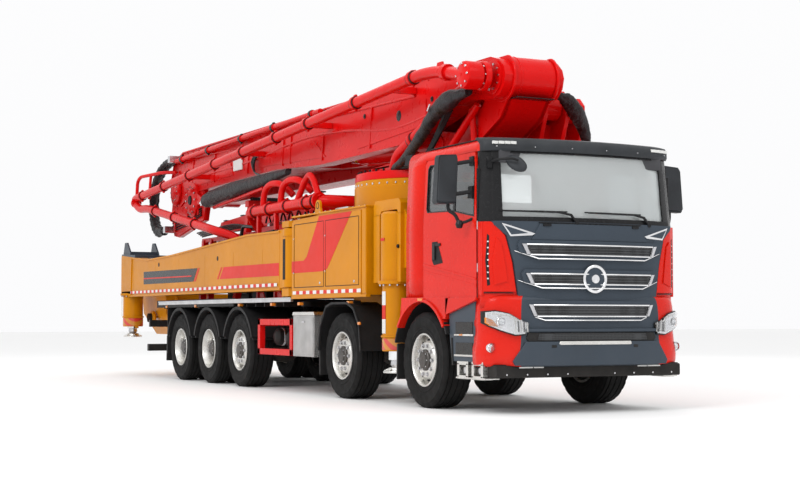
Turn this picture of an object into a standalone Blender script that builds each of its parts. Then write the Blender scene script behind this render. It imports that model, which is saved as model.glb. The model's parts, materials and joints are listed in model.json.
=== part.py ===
"""Concrete pump truck: five-axle chassis, cab, outriggers, slewing turret and folded five-section boom.

Metres, +X forward, +Y left, +Z up. The origin is on the ground under the middle of the machine.
Inside the script every x is counted from the front axle, and one empty carries the whole model.
"""

import math

import bmesh
import bpy
from mathutils import Matrix, Vector

# ---------------------------------------------------------------- driving dimensions
GAP = 0.0003  # left between two pieces that touch
TYRE_RADIUS = 0.54
AXLES = (0.0, -2.25, -5.95, -7.33, -8.71)  # x of the five axles
STEERED = (0, 1)
TWIN = (3, 4)
TRUCK_HALF_WIDTH = 1.25
FRONT_AXLE_X = 5.4793  # puts the middle of the overall length over the origin

RAIL_OUT = 0.43
RAIL_Z = (0.76, 1.06)
RAIL_X = (-10.6, 1.25)
RAIL_THICK = 0.05

SINGLE_WIDTH = 0.37
TWIN_WIDTH = 0.62
WHEEL_OUT = 1.235  # outer face of every tyre
WHEEL_SIDES = 20
KINGPIN_Y = 0.82
KINGPIN_R = 0.04
HUB_FACE = 0.05  # where the disc meets the hub, from the wheel's middle

CAB_Z = (1.12, 2.93)
CAB_REAR_FLOOR = 1.22
CAB_WALL = 0.05
DOOR_X = (0.02, 1.27)
DOOR_Z = (1.20, 2.78)
DOOR_GAP = 0.008
HINGE_GAP = 0.0006
DOOR_OUT = 1.245  # outer face of the doors, where their hinges stand
SCREEN_HALF = 1.10
SCREEN_Z = (2.06, 2.79)

TURRET_X = -2.25
RING_R = 0.95
COLLAR_Z = (2.42, 2.76)
TURRET_BASE_Z = (2.7605, 2.87)
LIFT_PIVOT = (0.38, 3.75)  # x, z of the hinge that carries boom 1
DRUM_R = 0.25
TOWER_Y = (-0.40, 0.18)
TOWER_PLATE = 0.08
BOOM_1_Y = (-0.52, 0.26)
BOOM_2_Y = (0.32, 0.68)
BOOM_3_Y = (0.34, 0.66)
BOOM_4_Y = (0.74, 1.04)
BOOM_5_Y = (0.76, 1.02)
FOLD_2 = (-11.15, 3.30)
FOLD_3 = (-0.10, 3.52)
FOLD_4 = (-10.40, 3.72)
FOLD_5 = (-0.30, 3.50)
HUB_R = 0.24
FOLD_PIN_R = 0.07
PIN_PLAY = 0.003
SIDE_PLAY = 0.0005
SKIN = 0.01  # how far a section's box stands in from its hubs and cheeks
LIFT_FOOT = (-1.15, 3.14)  # x, z where the lift cylinder stands on the turret
LIFT_EYE = (-4.20, 3.30)  # x, z where its rod meets boom 1
LIFT_Y = -0.11
LIFT_SLOT_Y = (-0.30, 0.08)
PIPE_R = 0.075
PIPE_Y = -0.88

DECK_BOX_X = (-3.86, -1.50)
DECK_BOX_Z = (1.30, 2.38)
DECK_BOX_IN = 0.62
REAR_PIVOT = (-4.10, 1.09)  # x, |y| of the rear outrigger's upright pin
REAR_ARM_X = (-12.15, -4.30)
REAR_ARM_Y = (0.97, 1.25)
REAR_LEG = (-11.86, 1.11)
REAR_LEG_Z = (0.86, 1.50)
FRONT_LEG = (-0.985, 1.07)
FRONT_LEG_Z = (0.58, 1.45)
FRONT_PAD_Z = 0.36
REAR_PAD_Z = 0.67
DECK_Z = (1.23, 1.29)
FRONT_BEAM_Z = (1.50, 1.86)
RIGHT_BEAM_X = (-1.42, -1.09)
LEFT_BEAM_X = (-1.04, -0.71)
BEAM_IN = 0.84  # how far each front beam reaches past the middle
LEG_R = 0.18
JACK_R = 0.11
JACK_FIT = 0.0008


# ---------------------------------------------------------------- helpers
def clear_scene():
    for obj in list(bpy.data.objects):
        bpy.data.objects.remove(obj)


def material(name, rgb, roughness=0.4, metallic=0.0):
    made = bpy.data.materials.new(name)
    made.use_nodes = True
    shader = made.node_tree.nodes["Principled BSDF"]
    shader.inputs["Base Color"].default_value = (*rgb, 1.0)
    shader.inputs["Roughness"].default_value = roughness
    shader.inputs["Metallic"].default_value = metallic
    return made


def object_of(name, mesh):
    obj = bpy.data.objects.new(name, mesh)
    parts.objects.link(obj)
    return obj


def from_bmesh(name, bm):
    mesh = bpy.data.meshes.new(name)
    bm.to_mesh(mesh)
    bm.free()
    return object_of(name, mesh)


def box(name, x, y, z):
    """A cuboid between two values on each axis."""
    low = Vector((min(x), min(y), min(z)))
    high = Vector((max(x), max(y), max(z)))
    bm = bmesh.new()
    place = Matrix.Translation((low + high) / 2) @ Matrix.Diagonal((*(high - low), 1))
    bmesh.ops.create_cube(bm, size=1, matrix=place)
    return from_bmesh(name, bm)


def rod(name, start, end, radius, sides=12, end_radius=None):
    """A cylinder, or a cone, between two points."""
    start, end = Vector(start), Vector(end)
    turn = (end - start).to_track_quat("Z", "Y").to_matrix().to_4x4()
    bm = bmesh.new()
    bmesh.ops.create_cone(
        bm,
        cap_ends=True,
        segments=sides,
        radius1=radius,
        radius2=radius if end_radius is None else end_radius,
        depth=(end - start).length,
        matrix=Matrix.Translation((start + end) / 2) @ turn,
    )
    return from_bmesh(name, bm)


def as_mesh(obj):
    """The evaluated object as a mesh object of the same name, its curve caps welded."""
    graph = bpy.context.evaluated_depsgraph_get()
    mesh = bpy.data.meshes.new_from_object(obj.evaluated_get(graph))
    bm = bmesh.new()
    bm.from_mesh(mesh)
    bmesh.ops.remove_doubles(bm, verts=bm.verts, dist=0.0001)
    bmesh.ops.transform(bm, matrix=obj.matrix_world, verts=bm.verts)
    bmesh.ops.recalc_face_normals(bm, faces=bm.faces)
    name = obj.name
    bpy.data.objects.remove(obj)
    return from_bmesh(name, bm)


def plate(name, outline, across, plane="XZ"):
    """A flat outline given thickness: in the XZ plane between two y, or in YZ between two x, or XY between two z."""
    curve = bpy.data.curves.new(name, "CURVE")
    curve.dimensions = "2D"
    curve.fill_mode = "BOTH"
    curve.extrude = abs(across[1] - across[0]) / 2
    spline = curve.splines.new("POLY")
    spline.points.add(len(outline) - 1)
    for point, (u, v) in zip(spline.points, outline):
        point.co = (u, v, 0, 1)
    spline.use_cyclic_u = True
    obj = object_of(name, curve)
    middle = (across[0] + across[1]) / 2
    if plane == "XZ":
        obj.rotation_euler = (math.pi / 2, 0, 0)
        obj.location = (0, middle, 0)
    elif plane == "YZ":
        obj.rotation_euler = (math.pi / 2, 0, math.pi / 2)
        obj.location = (middle, 0, 0)
    else:
        obj.location = (0, 0, middle)
    bpy.context.view_layer.update()
    return as_mesh(obj)


def pipe(name, points, radius, sides=10, bend=0.0):
    """A round tube along a path whose corners are rounded with the given bend radius."""
    path = rounded(points, bend) if bend else points
    curve = bpy.data.curves.new(name, "CURVE")
    curve.dimensions = "3D"
    curve.bevel_depth = radius
    curve.bevel_resolution = sides // 2 - 2
    curve.use_fill_caps = True
    spline = curve.splines.new("POLY")
    spline.points.add(len(path) - 1)
    for point, co in zip(spline.points, path):
        point.co = (*co, 1)
    return as_mesh(object_of(name, curve))


def rounded(points, bend, steps=4):
    """The path with each corner replaced by a smooth turn."""
    points = [Vector(p) for p in points]
    path = [points[0]]
    for before, corner, after in zip(points, points[1:], points[2:]):
        back = (before - corner).normalized()
        on = (after - corner).normalized()
        reach = min(bend, (before - corner).length * 0.49, (after - corner).length * 0.49)
        start, end = corner + back * reach, corner + on * reach
        for k in range(steps + 1):
            t = k / steps
            path.append(start * (1 - t) ** 2 + corner * 2 * t * (1 - t) + end * t * t)
    path.append(points[-1])
    return path


def combine(name, first, others, operation="UNION"):
    """One body from several by exact Booleans; the helpers are removed."""
    for other in others:
        step = first.modifiers.new(other.name, "BOOLEAN")
        step.operation = operation
        step.solver = "EXACT"
        step.object = other
    bpy.context.view_layer.update()
    graph = bpy.context.evaluated_depsgraph_get()
    mesh = bpy.data.meshes.new_from_object(first.evaluated_get(graph))
    first.modifiers.clear()
    first.data = mesh
    for other in others:
        bpy.data.objects.remove(other)
    first.name = name
    return first


def join(name, *pieces):
    return combine(name, pieces[0], pieces[1:], "UNION")


def cut(obj, *cutters):
    return combine(obj.name, obj, cutters, "DIFFERENCE")


def mirrored(obj, name):
    """A copy on the other side of the truck."""
    bm = bmesh.new()
    bm.from_mesh(obj.data)
    bmesh.ops.scale(bm, vec=(1, -1, 1), verts=bm.verts)
    bmesh.ops.reverse_faces(bm, faces=bm.faces)
    copy = from_bmesh(name, bm)
    copy.location = (obj.location.x, -obj.location.y, obj.location.z)
    for used in obj.data.materials:
        copy.data.materials.append(used)
    return copy


def finish(obj, look, smooth=False):
    obj.data.materials.clear()
    obj.data.materials.append(look)
    if smooth:
        obj.data.shade_smooth()
        obj.data.set_sharp_from_angle(angle=math.radians(35))
    obj.parent = origin
    return obj


def both_sides(obj, right_name, left_name, look, smooth=False):
    """Keeps the right-hand piece and adds its mirror image."""
    obj.name = right_name
    left = mirrored(obj, left_name)
    finish(obj, look, smooth)
    finish(left, look, smooth)
    return obj, left


# ---------------------------------------------------------------- running gear
def turned(name, profile, sides=WHEEL_SIDES):
    """A closed body of revolution about its own Y axis from (radius, y) pairs that start and end on the axis."""
    mesh = bpy.data.meshes.new(name)
    points = [(r, 0, y) for r, y in profile]
    mesh.from_pydata(points, [(i, i + 1) for i in range(len(points) - 1)], [])
    obj = object_of(name, mesh)
    screw = obj.modifiers.new("turn", "SCREW")
    screw.steps = sides
    screw.render_steps = sides
    screw.use_merge_vertices = True
    screw.merge_threshold = 0.0001
    obj.rotation_euler = (-math.pi / 2, 0, 0)
    bpy.context.view_layer.update()
    made = as_mesh(obj)
    bm = bmesh.new()
    bm.from_mesh(made.data)
    bmesh.ops.rotate(bm, matrix=Matrix.Rotation(math.pi / 2, 3, "Y"), verts=bm.verts)
    bm.to_mesh(made.data)
    bm.free()
    return made


def single_profile():
    """Wide single tyre on a rim whose disc stands near the outer side; outer side is +y."""
    half, r = SINGLE_WIDTH / 2, TYRE_RADIUS
    return [
        (0, 0.165), (0.09, 0.165), (0.11, 0.09), (0.24, 0.09), (0.28, half - 0.02),
        (0.42, half), (r, 0.135), (r, -0.135), (0.42, -half), (0.27, -half + 0.02),
        (0.25, HUB_FACE), (0, HUB_FACE),
    ]


def twin_profile():
    """Two tyres on one hub, with a deep dish on the outer side."""
    half, r, tyre, gap = TWIN_WIDTH / 2, TYRE_RADIUS, 0.29, 0.02
    return [
        (0, 0.12), (0.11, 0.12), (0.12, 0.03), (0.23, 0.03), (0.27, half - 0.01),
        (0.42, half), (r, half - 0.05), (r, half - tyre + 0.05), (0.42, gap), (0.30, gap),
        (0.30, -gap), (0.42, -gap), (r, tyre - half - 0.05), (r, 0.05 - half), (0.42, -half),
        (0.27, 0.01 - half), (0.24, -0.02), (0, -0.02),
    ]


def wheel_centre(axle):
    return WHEEL_OUT - (TWIN_WIDTH if axle in TWIN else SINGLE_WIDTH) / 2


def wheels():
    kinds = {False: turned("single", single_profile()), True: turned("twin", twin_profile())}
    for axle, x in enumerate(AXLES):
        for side, sign in (("right", -1), ("left", 1)):
            kind = kinds[axle in TWIN]
            obj = object_of(f"{side}_wheel_{axle + 1}", kind.data.copy())
            obj.location = (x, sign * wheel_centre(axle), TYRE_RADIUS)
            if sign < 0:
                obj.rotation_euler = (0, 0, math.pi)
            finish(obj, tyre_black, smooth=True)
    for kind in kinds.values():
        bpy.data.objects.remove(kind)


def knuckle(axle, x):
    """Steering knuckle: an upright barrel on the kingpin and the stub that carries the wheel."""
    y = KINGPIN_Y
    stub_end = wheel_centre(axle) + HUB_FACE - GAP
    barrel = rod("barrel", (x, -y, 0.4155), (x, -y, 0.66), 0.075)
    cut(barrel, rod("bore", (x, -y, 0.3), (x, -y, 0.8), KINGPIN_R + PIN_PLAY))
    stub = rod("stub", (x, -y - KINGPIN_R - 0.01, TYRE_RADIUS), (x, -stub_end, TYRE_RADIUS), 0.05, 14)
    drum = rod("drum", (x, -y - 0.10, TYRE_RADIUS), (x, -stub_end + 0.06, TYRE_RADIUS), 0.19, 16)
    arm = box("arm", (x - 0.30, x - 0.06), (-y - 0.02, -y + 0.025), (0.44, 0.48))
    place = ("front", "second")[axle]
    right = join("knuckle", barrel, stub, drum, arm)
    both_sides(right, f"right_{place}_knuckle", f"left_{place}_knuckle", iron)


def steered_axle(axle, x):
    """Dropped beam with a fork and kingpin at each end and spring pads under the rails."""
    y = KINGPIN_Y
    beam = [
        (-y - 0.03, 0.70), (-y - 0.03, 0.665), (-y + 0.10, 0.665), (-y + 0.13, 0.50), (-0.50, 0.40),
        (0.50, 0.40), (y - 0.13, 0.50), (y - 0.10, 0.665), (y + 0.03, 0.665), (y + 0.03, 0.70),
        (y - 0.06, 0.74), (0.62, 0.64), (0.50, 0.54), (-0.50, 0.54), (-0.62, 0.64), (-y + 0.06, 0.74),
    ]
    pieces = [plate("beam", beam, (x - 0.06, x + 0.06), "YZ")]
    for sign in (-1, 1):
        pieces.append(rod("pin", (x, sign * y, 0.38), (x, sign * y, 0.70), KINGPIN_R))
        pieces.append(rod("pin_foot", (x, sign * y, 0.36), (x, sign * y, 0.415), 0.06))
        spring = (x - 0.62, x + 0.62)
        pieces.append(box("spring", spring, (sign * 0.34, sign * 0.42), (0.52, 0.62)))
        for end in spring:
            hanger = (end - 0.05, end + 0.05)
            pieces.append(box("hanger", hanger, (sign * 0.35, sign * 0.41), (0.56, RAIL_Z[0] - GAP)))
    finish(join(f"axle_{axle + 1}", *pieces), iron)


def straight_axle(axle, x):
    """Tube axle with a hub spindle at each end; the driven ones have a differential."""
    twin = axle in TWIN
    end = wheel_centre(axle) + (-0.02 if twin else HUB_FACE) - GAP
    pieces = [rod("tube", (x, -end, TYRE_RADIUS), (x, end, TYRE_RADIUS), 0.08)]
    if twin:
        pieces.append(rod("housing", (x - 0.14, 0, 0.55), (x + 0.20, 0, 0.55), 0.24, 14))
        pieces.append(rod("nose", (x + 0.1, 0, 0.57), (x + 0.42, 0, 0.60), 0.10))
    for sign in (-1, 1):
        pad = (x - 0.56, x + 0.56)
        pieces.append(box("spring", pad, (sign * 0.34, sign * 0.42), (0.60, 0.70)))
        pieces.append(box("seat", (x - 0.1, x + 0.1), (sign * 0.33, sign * 0.43), (0.54, 0.65)))
        for at in pad:
            hanger = (at - 0.05, at + 0.05)
            pieces.append(box("hanger", hanger, (sign * 0.35, sign * 0.41), (0.66, RAIL_Z[0] - GAP)))
    finish(join(f"axle_{axle + 1}", *pieces), iron)


def running_gear():
    wheels()
    for axle, x in enumerate(AXLES):
        if axle in STEERED:
            steered_axle(axle, x)
            knuckle(axle, x)
        else:
            straight_axle(axle, x)


# ---------------------------------------------------------------- chassis
def chassis_frame():
    """Two rails and their cross members."""
    pieces = []
    for sign in (-1, 1):
        pieces.append(box("rail", RAIL_X, (sign * (RAIL_OUT - RAIL_THICK), sign * RAIL_OUT), RAIL_Z))
    for x in (1.15, -1.05, -3.4, -4.7, -6.6, -8.0, -8.85):
        member = (x - 0.05, x + 0.05)
        pieces.append(box("member", member, (-RAIL_OUT + 0.02, RAIL_OUT - 0.02), (0.80, 1.02)))
    for sign in (-1, 1):
        pieces.append(box("cab_mount", (-0.40, -0.30), (sign * 0.41, sign * 0.50), (1.0, CAB_REAR_FLOOR - GAP)))
        pieces.append(box("cab_mount", (1.05, 1.15), (sign * 0.41, sign * 0.50), (1.0, CAB_Z[0] - GAP)))
    finish(join("chassis_frame", *pieces), frame_black)


def engine():
    """Plain block between the rails, on its mounts."""
    block = box("engine", (-0.75, 0.95), (-0.32, 0.32), (0.62, 1.10))
    mount_y = RAIL_OUT - RAIL_THICK - GAP
    mounts = [box("mount", (x, x + 0.15), (-mount_y, mount_y), (0.84, 0.96)) for x in (-0.5, 0.5)]
    finish(join("engine", block, *mounts), iron)


def fender_arch(x, inner, outer, radius=0.60, sweep=75, thick=0.025, sides=8):
    """A bent mudguard over one wheel."""
    angles = [math.radians(90 - sweep + 2 * sweep * k / sides) for k in range(sides + 1)]
    ring = [(x + radius * math.cos(a), TYRE_RADIUS + radius * math.sin(a)) for a in angles]
    back = radius + thick
    ring += [(x + back * math.cos(a), TYRE_RADIUS + back * math.sin(a)) for a in reversed(angles)]
    return plate("arch", ring, (inner, outer))


def rear_deck():
    """Walkway over the rear axles, its aluminium edge, the six mudguards and their flaps."""
    pieces = [box("deck", (-9.95, -5.30), (-TRUCK_HALF_WIDTH, TRUCK_HALF_WIDTH), DECK_Z)]
    for sign in (-1, 1):
        edge = (sign * TRUCK_HALF_WIDTH, sign * (TRUCK_HALF_WIDTH - 0.03))
        pieces.append(box("edge", (-9.95, -6.15), edge, (1.19, 1.31)))
        for axle in (2, 3, 4):
            inner, outer = sign * 0.55, sign * (TRUCK_HALF_WIDTH - 0.01)
            pieces.append(fender_arch(AXLES[axle], inner, outer))
            pieces.append(box("web", (AXLES[axle] - 0.03, AXLES[axle] + 0.03), (inner, outer), (1.15, 1.25)))
        flap = AXLES[4] - 0.66
        pieces.append(box("flap", (flap - 0.02, flap), (sign * 0.55, outer), (0.42, 1.25)))
        pieces.append(box("stay", (-9.9, -9.8), (sign * 0.45, sign * 0.52), (RAIL_Z[1] + GAP, 1.25)))
        pieces.append(box("stay", (-5.5, -5.4), (sign * 0.36, sign * 0.42), (RAIL_Z[1] + GAP, 1.25)))
    finish(join("rear_deck", *pieces), fender_black)


def second_fenders():
    """Mudguards of the second axle, joined by a cross tube under the deck boxes."""
    x = AXLES[1]
    pieces = [box("tube", (x - 0.75, x - 0.69), (-1.2, 1.2), (0.66, RAIL_Z[0] - GAP))]
    for sign in (-1, 1):
        inner, outer = sign * 0.60, sign * (TRUCK_HALF_WIDTH - 0.01)
        pieces.append(fender_arch(x, inner, outer, radius=0.70, sweep=60))
        flap = x - 0.74
        pieces.append(box("flap", (flap - 0.02, flap), (inner, outer), (0.40, 0.99)))
        pieces.append(box("link", (flap - 0.01, x - 0.59), (inner + sign * 0.01, outer - sign * 0.01), (0.88, 0.98)))
    finish(join("second_axle_fenders", *pieces), fender_black)


def right_side_box():
    """Red guard frame and chequer-plate locker between the second and third axles, on the right."""
    y = (-1.23, -0.62)
    pieces = [box("locker", (-3.84, -3.12), y, (0.50, 1.09))]
    for z in ((0.50, 0.60), (0.90, 1.00)):
        pieces.append(box("bar", (-5.15, -3.82), (-1.23, -1.15), z))
    pieces.append(box("post", (-4.02, -3.82), (-1.23, -1.15), (0.50, 1.00)))
    pieces.append(box("shelf", (-5.10, -3.82), (-1.19, -0.62), (0.50, 0.54)))
    pieces.append(box("bracket", (-3.7, -3.3), (-0.65, -RAIL_OUT - GAP), (0.85, 1.0)))
    finish(join("right_locker", *pieces), locker_grey)


def left_fuel_tank():
    """Fuel tank on the left rail."""
    tank = box("tank", (-5.05, -3.15), (0.60, 1.22), (0.48, 1.05))
    bevel = tank.modifiers.new("edges", "BEVEL")
    bevel.width = 0.10
    bevel.segments = 3
    tank = as_mesh(tank)
    straps = [box("bracket", (x, x + 0.1), (RAIL_OUT + GAP, 0.62), (0.78, 1.0)) for x in (-4.7, -3.6)]
    finish(join("left_fuel_tank", tank, *straps), locker_grey)


def pump_and_hopper():
    """Rear hopper with its step, and the two pumping cylinders that lie between the rails."""
    outline = [(-12.30, 1.42), (-12.30, 1.34), (-11.78, 0.72), (-11.10, 0.72), (-10.86, 1.42)]
    hopper = plate("hopper", outline, (-0.80, 0.80))
    inside = [(-12.25, 1.60), (-12.25, 1.37), (-11.75, 0.78), (-11.14, 0.78), (-10.92, 1.60)]
    cut(hopper, plate("inside", inside, (-0.74, 0.74)))
    outlet = rod("outlet", (-11.13, 0, 0.90), (-10.55, 0, 0.90), 0.13)
    cradle_y = RAIL_OUT - RAIL_THICK - GAP
    cradle = box("cradle", (-10.95, -10.45), (-cradle_y, cradle_y), (0.80, 1.02))
    tubes = [rod("tube", (-10.7, y, 0.93), (-9.0, y, 0.96), 0.10) for y in (-0.19, 0.19)]
    finish(join("hopper", hopper, outlet, cradle, *tubes), pump_yellow)


# ---------------------------------------------------------------- cab
def cab_hull(name, shrink=0.0):
    """The cab's outer body, or the same shape smaller all round for the space inside."""
    s = shrink
    side = [
        (-0.47 + s, 1.22 + s), (0.60, 1.22 + s), (0.66, 1.12 + s), (1.70 - s, 1.12 + s),
        (1.70 - s, 2.02), (1.60 - s, 2.93 - s), (-0.25 + s, 2.93 - s), (-0.38 + s, 2.80 - s),
    ]
    plan = [
        (-0.47 + s, -1.24 + s), (1.34 - s, -1.24 + s), (1.43 - s, -1.14 + s), (1.53 - s, -0.60),
        (1.56 - s, 0.0), (1.53 - s, 0.60), (1.43 - s, 1.14 - s), (1.34 - s, 1.24 - s),
        (-0.47 + s, 1.24 - s),
    ]
    body = plate(name, side, (-2, 2))
    return combine(name, body, [plate("plan", plan, (0, 4), "XY")], "INTERSECT")


def cab():
    """Hollow cab with door, windscreen and rear openings, its roof visor and entry sills."""
    shell = cab_hull("cab_shell")
    cut(shell, cab_hull("room", CAB_WALL))
    for sign in (-1, 1):
        y = sorted((sign * 1.0, sign * 1.6))
        cut(shell, box("doorway", DOOR_X, y, DOOR_Z))
    cut(shell, box("screen", (1.25, 2.0), (-SCREEN_HALF, SCREEN_HALF), SCREEN_Z))
    cut(shell, box("rear_window", (-0.7, -0.3), (-0.55, 0.55), (2.25, 2.72)))
    cut(shell, box("tunnel", (-0.7, 1.25), (-0.40, 0.40), (1.0, 1.18)))
    visor = plate("visor", [(1.38, 2.93), (1.60, 2.90), (1.66, 2.80), (1.64, 2.79), (1.50, 2.88)], (-1.08, 1.08))
    finish(join("cab_shell", shell, visor), cab_red)
    finish(windscreen(), glass)
    doors()
    inside_cab()
    front()


def windscreen():
    """Curved glass standing in its opening."""
    edge = SCREEN_HALF - GAP
    outer = [(1.417, -edge), (1.51, -0.60), (1.54, 0.0), (1.51, 0.60), (1.417, edge)]
    inner = [(x - 0.012, y) for x, y in reversed(outer)]
    return plate("windscreen", outer + inner, (SCREEN_Z[0] + GAP, SCREEN_Z[1] - GAP), "XY")


def doors():
    """Front-hinged doors with cut windows, each carrying its mirrors."""
    x0, x1 = DOOR_X[0] + DOOR_GAP, DOOR_X[1] - HINGE_GAP
    z0, z1 = DOOR_Z[0] + DOOR_GAP, DOOR_Z[1] - DOOR_GAP
    y = (-DOOR_OUT, -1.20)
    door = box("door", (x0, x1), y, (z0, z1))
    window = [(0.10, 2.16), (0.72, 2.16), (1.21, 2.11), (1.21, 2.72), (0.14, 2.72)]
    cut(door, plate("window", window, (-2, -1)))
    handle = box("handle", (0.24, 0.48), (-1.262, -1.22), (1.66, 1.72))
    mirror = box("mirror", (0.93, 1.05), (-1.62, -1.38), (2.20, 2.78))
    bars = [box("bar", (0.96, 1.02), (-1.40, -1.22), (z, z + 0.05)) for z in (2.68, 2.30)]
    window_post = box("post", (0.94, 1.02), (-1.24, -1.205), (2.10, 2.75))
    door = join("door", door, handle, window_post, *bars, mirror)
    both_sides(door, "right_door", "left_door", cab_red)


def inside_cab():
    """What shows through the glass: seats, dashboard and steering wheel."""
    floor = 1.12 + CAB_WALL + GAP
    for name, y in (("passenger_seat", -0.62), ("driver_seat", 0.62)):
        base = box("base", (0.05, 0.50), (y - 0.2, y + 0.2), (1.22 + CAB_WALL + GAP, 1.62))
        cushion = box("cushion", (0.0, 0.58), (y - 0.26, y + 0.26), (1.60, 1.76))
        back = plate("back", [(0.0, 1.70), (0.14, 1.70), (0.0, 2.42), (-0.12, 2.42)], (y - 0.25, y + 0.25))
        head = box("head", (-0.13, 0.0), (y - 0.13, y + 0.13), (2.38, 2.58))
        finish(join(name, base, cushion, back, head), seat_black)
    outline = [(0.98, 1.55), (1.22, floor), (1.30, floor), (1.31, 1.96), (1.20, 2.00), (0.98, 1.92)]
    finish(plate("dashboard", outline, (-1.08, 1.08)), seat_black)
    centre, axis = Vector((0.80, 0.62, 1.98)), Vector((-0.42, 0, 0.90)).normalized()
    wheel = rod("ring", centre - axis * 0.016, centre + axis * 0.016, 0.23, 20)
    cut(wheel, rod("hole", centre - axis * 0.1, centre + axis * 0.1, 0.195, 20))
    hub = rod("hub", centre - axis * 0.05, centre + axis * 0.012, 0.05)
    spoke = box("spoke", (0.78, 0.82), (0.62 - 0.21, 0.62 + 0.21), (1.972, 1.988))
    column = rod("column", centre - axis * 0.03, centre - axis * 0.48, 0.03)
    cut(column, box("face", (0.98 - SIDE_PLAY, 1.3), (0, 1), (1, 2)))
    finish(join("steering_wheel", wheel, hub, spoke, column), seat_black)


def front():
    """Dark front panel under the windscreen, and the bumper with its lamps and entry steps."""
    lower, upper = (1.13, 1.99)
    face = [(1.5606, 0.0), (1.5306, 0.60), (1.453, 1.02)]
    outer = [(x, -y) for x, y in reversed(face)] + face[1:]
    panel = plate("front_panel", outer + [(x + 0.045, y) for x, y in reversed(outer)], (lower, upper), "XY")
    finish(panel, grille_dark)
    plan = [
        (0.76, -1.25), (1.36, -1.25), (1.48, -1.15), (1.58, -0.60), (1.60, 0.0), (1.58, 0.60),
        (1.48, 1.15), (1.36, 1.25), (0.76, 1.25), (0.76, 0.94), (1.30, 0.94), (1.30, -0.94), (0.76, -0.94),
    ]
    bumper = plate("bumper", plan, (0.52, 1.11), "XY")
    for sign in (-1, 1):
        y = sorted((sign * 1.04, sign * 1.5))
        cut(bumper, box("step", (0.80, 1.26), y, (0.74, 0.82)))
        cut(bumper, box("step", (0.80, 1.26), y, (0.94, 1.02)))
    guard = box("guard", (1.32, 1.46), (-1.10, 1.10), (0.38, 0.54))
    ties = [box("tie", (1.2, 1.32), (s * 0.38 - 0.04, s * 0.38 + 0.04), (0.80, 1.02)) for s in (-1, 1)]
    finish(join("bumper", bumper, guard, *[cut_to_rail(t) for t in ties]), cab_red)


def cut_to_rail(tie):
    """Stops a bumper tie just short of the rail's end."""
    return cut(tie, box("rail_end", (1.0, RAIL_X[1] + GAP), (-1, 1), (0.7, 1.2)))


# ---------------------------------------------------------------- body
def pedestal():
    """Fixed pedestal: turret collar, tunnels for the front beams and brackets for the rear outriggers."""
    body = box("body", (-3.30, -1.40), (-0.58, 0.58), (RAIL_Z[1] + GAP, 2.45))
    collar = rod("collar", (TURRET_X, 0, COLLAR_Z[0]), (TURRET_X, 0, COLLAR_Z[1]), RING_R, 32)
    housing = box("housing", (-1.47, -0.66), (-0.86, 0.86), (1.40, 1.96))
    neck = box("neck", (-1.60, -0.66), (-0.40, 0.40), (1.93, 2.30))
    rear = box("rear", (-4.40, -3.20), (-0.60, 0.60), (1.31, 1.42))
    top = box("top", (-4.40, -3.20), (-0.60, 0.60), (2.20, 2.345))
    web = box("web", (-4.30, -3.20), (-0.5, 0.5), (1.33, 2.30))
    pieces = [collar, housing, neck, rear, top, web]
    x, y = REAR_PIVOT
    for sign in (-1, 1):
        for z in ((1.31, 1.42), (2.26, 2.345)):
            ear = [(x - 0.20, 0.5), (x + 0.20, 0.5), (x + 0.20, y), (x + 0.12, y + 0.16),
                   (x - 0.12, y + 0.16), (x - 0.20, y)]
            pieces.append(plate("ear", [(u, sign * v) for u, v in ear], z, "XY"))
        pieces.append(rod("pin", (x, sign * y, 1.36), (x, sign * y, 2.30), 0.06, 16))
        pieces.append(box("side_rest", (-3.6, -1.7), (sign * 0.56, sign * (DECK_BOX_IN - GAP)), (1.5, 2.2)))
    body = join("pedestal", body, *pieces)
    play = 0.006
    for beam in (RIGHT_BEAM_X, LEFT_BEAM_X):
        tunnel_x = (beam[0] - play, beam[1] + play)
        cut(body, box("tunnel", tunnel_x, (-1.5, 1.5), (FRONT_BEAM_Z[0] - SIDE_PLAY, FRONT_BEAM_Z[1] + play)))
    finish(body, body_yellow)


def side_boxes():
    """Tool and oil boxes either side of the pedestal, each with a lifting eye."""
    outline = [
        (DECK_BOX_X[0], DECK_BOX_Z[0]), (DECK_BOX_X[1], DECK_BOX_Z[0]), (DECK_BOX_X[1], DECK_BOX_Z[1]),
        (-3.0, DECK_BOX_Z[1]), (DECK_BOX_X[0], DECK_BOX_Z[1] - 0.03),
    ]
    hull = plate("box", outline, (-TRUCK_HALF_WIDTH, -DECK_BOX_IN))
    both_sides(hull, "right_side_box", "left_side_box", body_yellow)


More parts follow.
